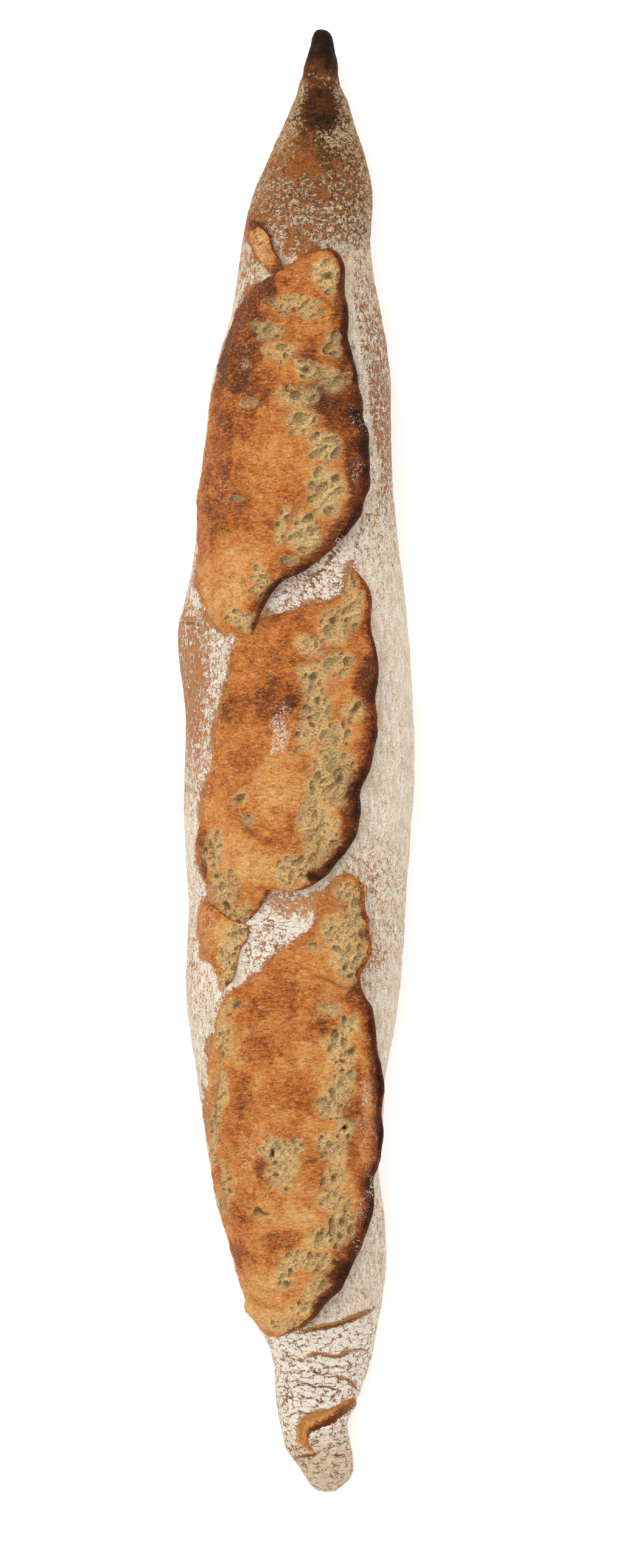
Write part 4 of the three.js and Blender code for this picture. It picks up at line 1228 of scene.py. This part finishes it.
crustLook = {
    "tones": {
        "flour": tone(246, 238, 222),
        "flourShade": tone(216, 195, 165),
        "flourOld": tone(192, 160, 108),  # flour that has browned near the point
        "pale": tone(228, 178, 122),
        "golden": tone(202, 132, 75),
        "red": tone(150, 88, 42),
        "dark": tone(84, 48, 24),
        "burnt": tone(36, 22, 15),
        "crease": tone(230, 168, 100),
        "creaseShade": tone(194, 126, 66),
        "creaseDark": tone(100, 54, 26),
        "crack": tone(146, 88, 48),
        "underside": tone(178, 128, 82),
    },
    "fields": {
        "broad": (0.12, 4, 0.6),
        "patches": (0.34, 4, 0.6, 0.5),
        "flecks": (1.0, 4, 0.62, 0.3),
        "lines": (0.5, 4, 0.6, 0.3, (1.35, 0.38, 1.35)),
        "grain": (2.4, 4, 0.65),
        "gapNear": (0.5, 4, 0.6),
        "gapFar": (0.9, 4, 0.6),
        "roundClump": (0.75, 7, 0.74, 0.3),
        "longClump": (0.85, 7, 0.74, 0.3, (1.2, 0.6, 1.2)),
        "dusting": (1.7, 6, 0.8),
        "scratch": (0.5, 4, 0.6, 0.0, (1.6, 0.16, 1.6)),
    },
    "swings": {
        "tint": {"patches": 1.8, "flecks": 1.5, "grain": 1.8},
        "worn": {"clump": 1.7, "patches": 0.7, "grain": 0.9, "cover": 1.15},
        "thick": {"patches": 0.8, "grain": 1.2}, "dusting": {"flecks": 0.5},
        "lightness": {"lines": 0.7, "streaky": -0.14}, "crackEdge": {"flecks": 1.4},
        "crackSide": {"flecks": 0.8}, "crease": {"grain": 1.0}, "underside": {"flecks": 0.7},
    },
    "steps": {
        "pale": (-0.1, -0.8, 0.0, 0.7), "red": (0.0, 1.0), "dark": (0.9, 1.7), "burnt": (1.6, 2.5),
        "gapWide": (0.46, 0.66), "gapOpen": (0.47, 0.55), "there": (0.465, 0.53),
        "thick": (0.34, 0.52, 0.78, 1.0), "smallGaps": (0.48, 0.6, 0.0, 0.5), "crazed": (0.45, 1.0),
        "scratch": (0.016, 0.003), "scratchShare": (0.44, 0.6, 0.0, 0.75),
        "dusting": (0.5, 0.6, 0.0, 0.24), "dustingCover": (0.1, 0.35), "dustingAge": (0.6, 0.0),
        "lightness": (0.3, 0.58), "inside": (2.15, 1.9), "crease": (0.42, 0.62, 0.0, 0.8),
        "lowerSide": (2.25, 2.75), "lowerEdge": (2.5, 2.2), "underside": (0.35, 0.6, 0.1, 0.8),
        "roughness": (0.0, 1.0, 0.6, 0.9),
    },
    # the gaps between flakes of flour: stretch, scale, half width
    "gaps": {
        "round": ((0.8, 1.2, 1.0), 1.15, 0.08),
        "long": ((1.35, 0.5, 1.2), 0.9, 0.08),
        "plates": ((0.5, 1.3, 0.95), 0.42, 0.17),
        "longPlates": ((1.3, 0.6, 1.1), 0.36, 0.12),
    },
    "gapBend": (0.6, 6, 0.62),
    "gapReach": 1.3,
    "gapFine": 0.05,
    "fineGaps": 0.35,
    "crazing": 0.08,
    "agedShare": 0.85,
    "crackShare": 0.95,
    "bumps": {"coat": 0.25, "lines": 0.6, "together": 0.4, "flecks": 0.3},
    "shine": 0.06,
}


def flourGaps(f, name, openings, ripple, fine):
    # the cracks between flakes of flour, which open and close
    look = f.look
    stretch, scale, halfGap = look["gaps"][name]
    edge = f.cells(f.shifted(f.coords(stretch), ripple, look["gapReach"] / scale), scale)
    soft = look["gapFine"] * scale
    wide = f.math("ADD", f.times(f.step("gapWide", openings), halfGap * scale), f.times(fine, soft))
    opened = f.math("MAXIMUM", f.step("gapOpen", openings), fine)
    return f.times(f.remap(edge, f.math("ADD", wide, soft), f.times(wide, 0.5)), opened)


def brokenFlour(f, streaky, fine, crazed):
    # where the flour has cracked, flaked or been scratched
    look, fields = f.look, f.fields
    ripple = f.noise(*look["gapBend"], output="Color")
    nearPlates = f.math("ADD", fields["gapNear"], f.times(crazed, look["crazing"]))
    roundGaps = flourGaps(f, "round", fields["gapFar"], ripple, fine)
    longGaps = flourGaps(f, "long", fields["gapFar"], ripple, fine)
    plates = flourGaps(f, "plates", nearPlates, ripple, fine)
    longPlates = flourGaps(f, "longPlates", fields["gapNear"], ripple, fine)
    small = f.times(f.blend(streaky, roundGaps, longGaps), f.step("smallGaps", fields["patches"]))
    small = f.math("MAXIMUM", small, f.times(roundGaps, fine, look["fineGaps"]))
    broken = f.math("MAXIMUM", small, f.blend(streaky, plates, longPlates))
    spread = f.step("crazed", f.math("ADD", crazed, f.times(fields["broad"], 0.6)))
    broken = f.times(broken, f.math("MAXIMUM", spread, fine))
    fromLine = f.math("ABSOLUTE", f.math("SUBTRACT", fields["scratch"], 0.5), 0.0)
    scratch = f.times(f.step("scratch", fromLine), streaky, f.step("scratchShare", fields["patches"]))
    return f.math("MAXIMUM", broken, scratch)


def bareCrust(f):
    tint = f.swing("tint", f.painted("brown"))
    colour = "golden"
    for name in ("pale", "red", "dark", "burnt"):
        colour = f.paint(f.step(name, tint), colour, name)
    return colour


def openedCreases(f, colour):
    # creases and cracks show the dough's golden skin, with a painted shadow line under their lower edge
    fromEdge = f.swing("crackEdge", f.painted("crackEdge"))
    golden = f.paint(f.step("crease", f.swing("crease", f.fields["flecks"])), "crease", "creaseShade")
    inner = f.paint(f.painted("crackGold"), "creaseDark", golden)
    colour = f.paint(f.step("inside", fromEdge), colour, inner)
    # painted shadow along the lower edge of each crack
    paintedShadowLine = f.step("lowerSide", f.swing("crackSide", f.painted("crackSide")))
    paintedShadowLine = f.times(paintedShadowLine, f.step("lowerEdge", fromEdge), f.painted("crackShadow"))
    return f.paint(paintedShadowLine, colour, "creaseDark")


def crustFinish():
    look = crustLook
    f = Finish("flouredCrust", look)
    fields = f.fields
    painted = ("streaky", "fine", "cover", "crazed", "aged")
    streaky, fine, cover, crazed, aged = (f.painted(name) for name in painted)
    clump = f.blend(streaky, fields["roundClump"], fields["longClump"])
    fields |= {"streaky": streaky, "cover": cover, "clump": clump}
    there = f.step("there", f.swing("worn", 0.5))
    thick = f.step("thick", f.swing("thick", fields["flecks"]))
    dusting = f.step("dusting", f.swing("dusting", fields["dusting"]))
    dusting = f.times(dusting, f.step("dustingCover", cover), f.step("dustingAge", aged))
    broken = brokenFlour(f, streaky, fine, crazed)
    coat = f.times(f.math("MAXIMUM", f.times(there, thick), dusting), f.math("SUBTRACT", 1.0, broken, True))
    lightness = f.step("lightness", f.swing("lightness", fields["grain"]))
    flourColour = f.paint(lightness, "flourShade", "flour")
    flourColour = f.paint(f.times(aged, look["agedShare"]), flourColour, "flourOld")
    inCracks = f.times(broken, f.blend(fine, 1.0, there), look["crackShare"])
    colour = f.paint(inCracks, bareCrust(f), f.paint(fine, "crack", "dark"))
    colour = openedCreases(f, f.paint(coat, colour, flourColour))
    undersideShare = f.step("underside", f.swing("underside", fields["patches"]))
    colour = f.paint(f.times(f.painted("below"), undersideShare), colour, "underside")
    f.put(f.shader.inputs["Base Color"], colour)
    f.put(f.shader.inputs["Roughness"], f.step("roughness", coat))
    f.shader.inputs["Specular IOR Level"].default_value = look["shine"]
    bumps = look["bumps"]
    height = f.math("ADD", f.times(coat, bumps["coat"]), f.times(fields["lines"], bumps["lines"]))
    f.bump([(height, bumps["together"]), (fields["flecks"], bumps["flecks"])])
    return f.material


goldenCrumb = goldenFinish()
flouredCrust = crustFinish()
for bloom in blooms:
    bloom.data.materials.clear()
    bloom.data.materials.append(goldenCrumb)
crustPiece.data.materials.clear()
crustPiece.data.materials.append(flouredCrust)
for piece in [crustPiece] + blooms:
    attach(piece, "root")
    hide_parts("loaf")
print("finishes made")


# The studio.

studio = {
    "lens": 400.0,
    "frameHeight": 534.9,  # mm seen from top to bottom at the loaf's widest level
    "centre": (8.0, -8.1),
    "level": 22.0,
    "keyPower": 14.0,
    "keyPlace": (-0.5, 0.5, 1.6),
    "keyTurn": (-17, -17, 0),
    "keySize": 1.6,
    "skyStrength": 0.76,
    "floorSize": 6,
    "floorDepth": 0.3,
    "floorTone": 0.75,
    "floorGlow": 0.5,
    "sensor": 36,
}

bpy.ops.mesh.primitive_plane_add(size=studio["floorSize"], location=(0, 0, -studio["floorDepth"] * mm))
floor = bpy.context.active_object
floor.name = "studioFloor"
floorFinish = Finish("whiteSweep", {"fields": {}})
floorFinish.shader.inputs["Base Color"].default_value = (*[studio["floorTone"]] * 3, 1)
floorFinish.shader.inputs["Roughness"].default_value = 0.9
floorFinish.shader.inputs["Emission Color"].default_value = (1, 1, 1, 1)
floorFinish.shader.inputs["Emission Strength"].default_value = studio["floorGlow"]
floor.data.materials.append(floorFinish.material)

bpy.ops.object.light_add(type="AREA", location=studio["keyPlace"])
key = bpy.context.active_object
key.name = "softOverhead"
key.data.shape = "RECTANGLE"
key.data.size = key.data.size_y = studio["keySize"]
key.data.energy = studio["keyPower"]
key.rotation_euler = [math.radians(turn) for turn in studio["keyTurn"]]

world = bpy.data.worlds.new("studioSky")
bpy.context.scene.world = world
world.use_nodes = True
sky = world.node_tree.nodes["Background"]
sky.inputs["Color"].default_value = (1, 1, 1, 1)
sky.inputs["Strength"].default_value = studio["skyStrength"]
bpy.context.scene.view_settings.view_transform = "Standard"

distance = studio["lens"] / studio["sensor"] * studio["frameHeight"]
place = (*studio["centre"], studio["level"] + distance)
bpy.ops.object.camera_add(location=[k * mm for k in place])
camera = bpy.context.active_object
camera.name = "overheadCamera"
camera.data.lens = studio["lens"]
camera.data.sensor_width = studio["sensor"]
camera.data.clip_end = 100
bpy.context.scene.camera = camera
print("studio made")
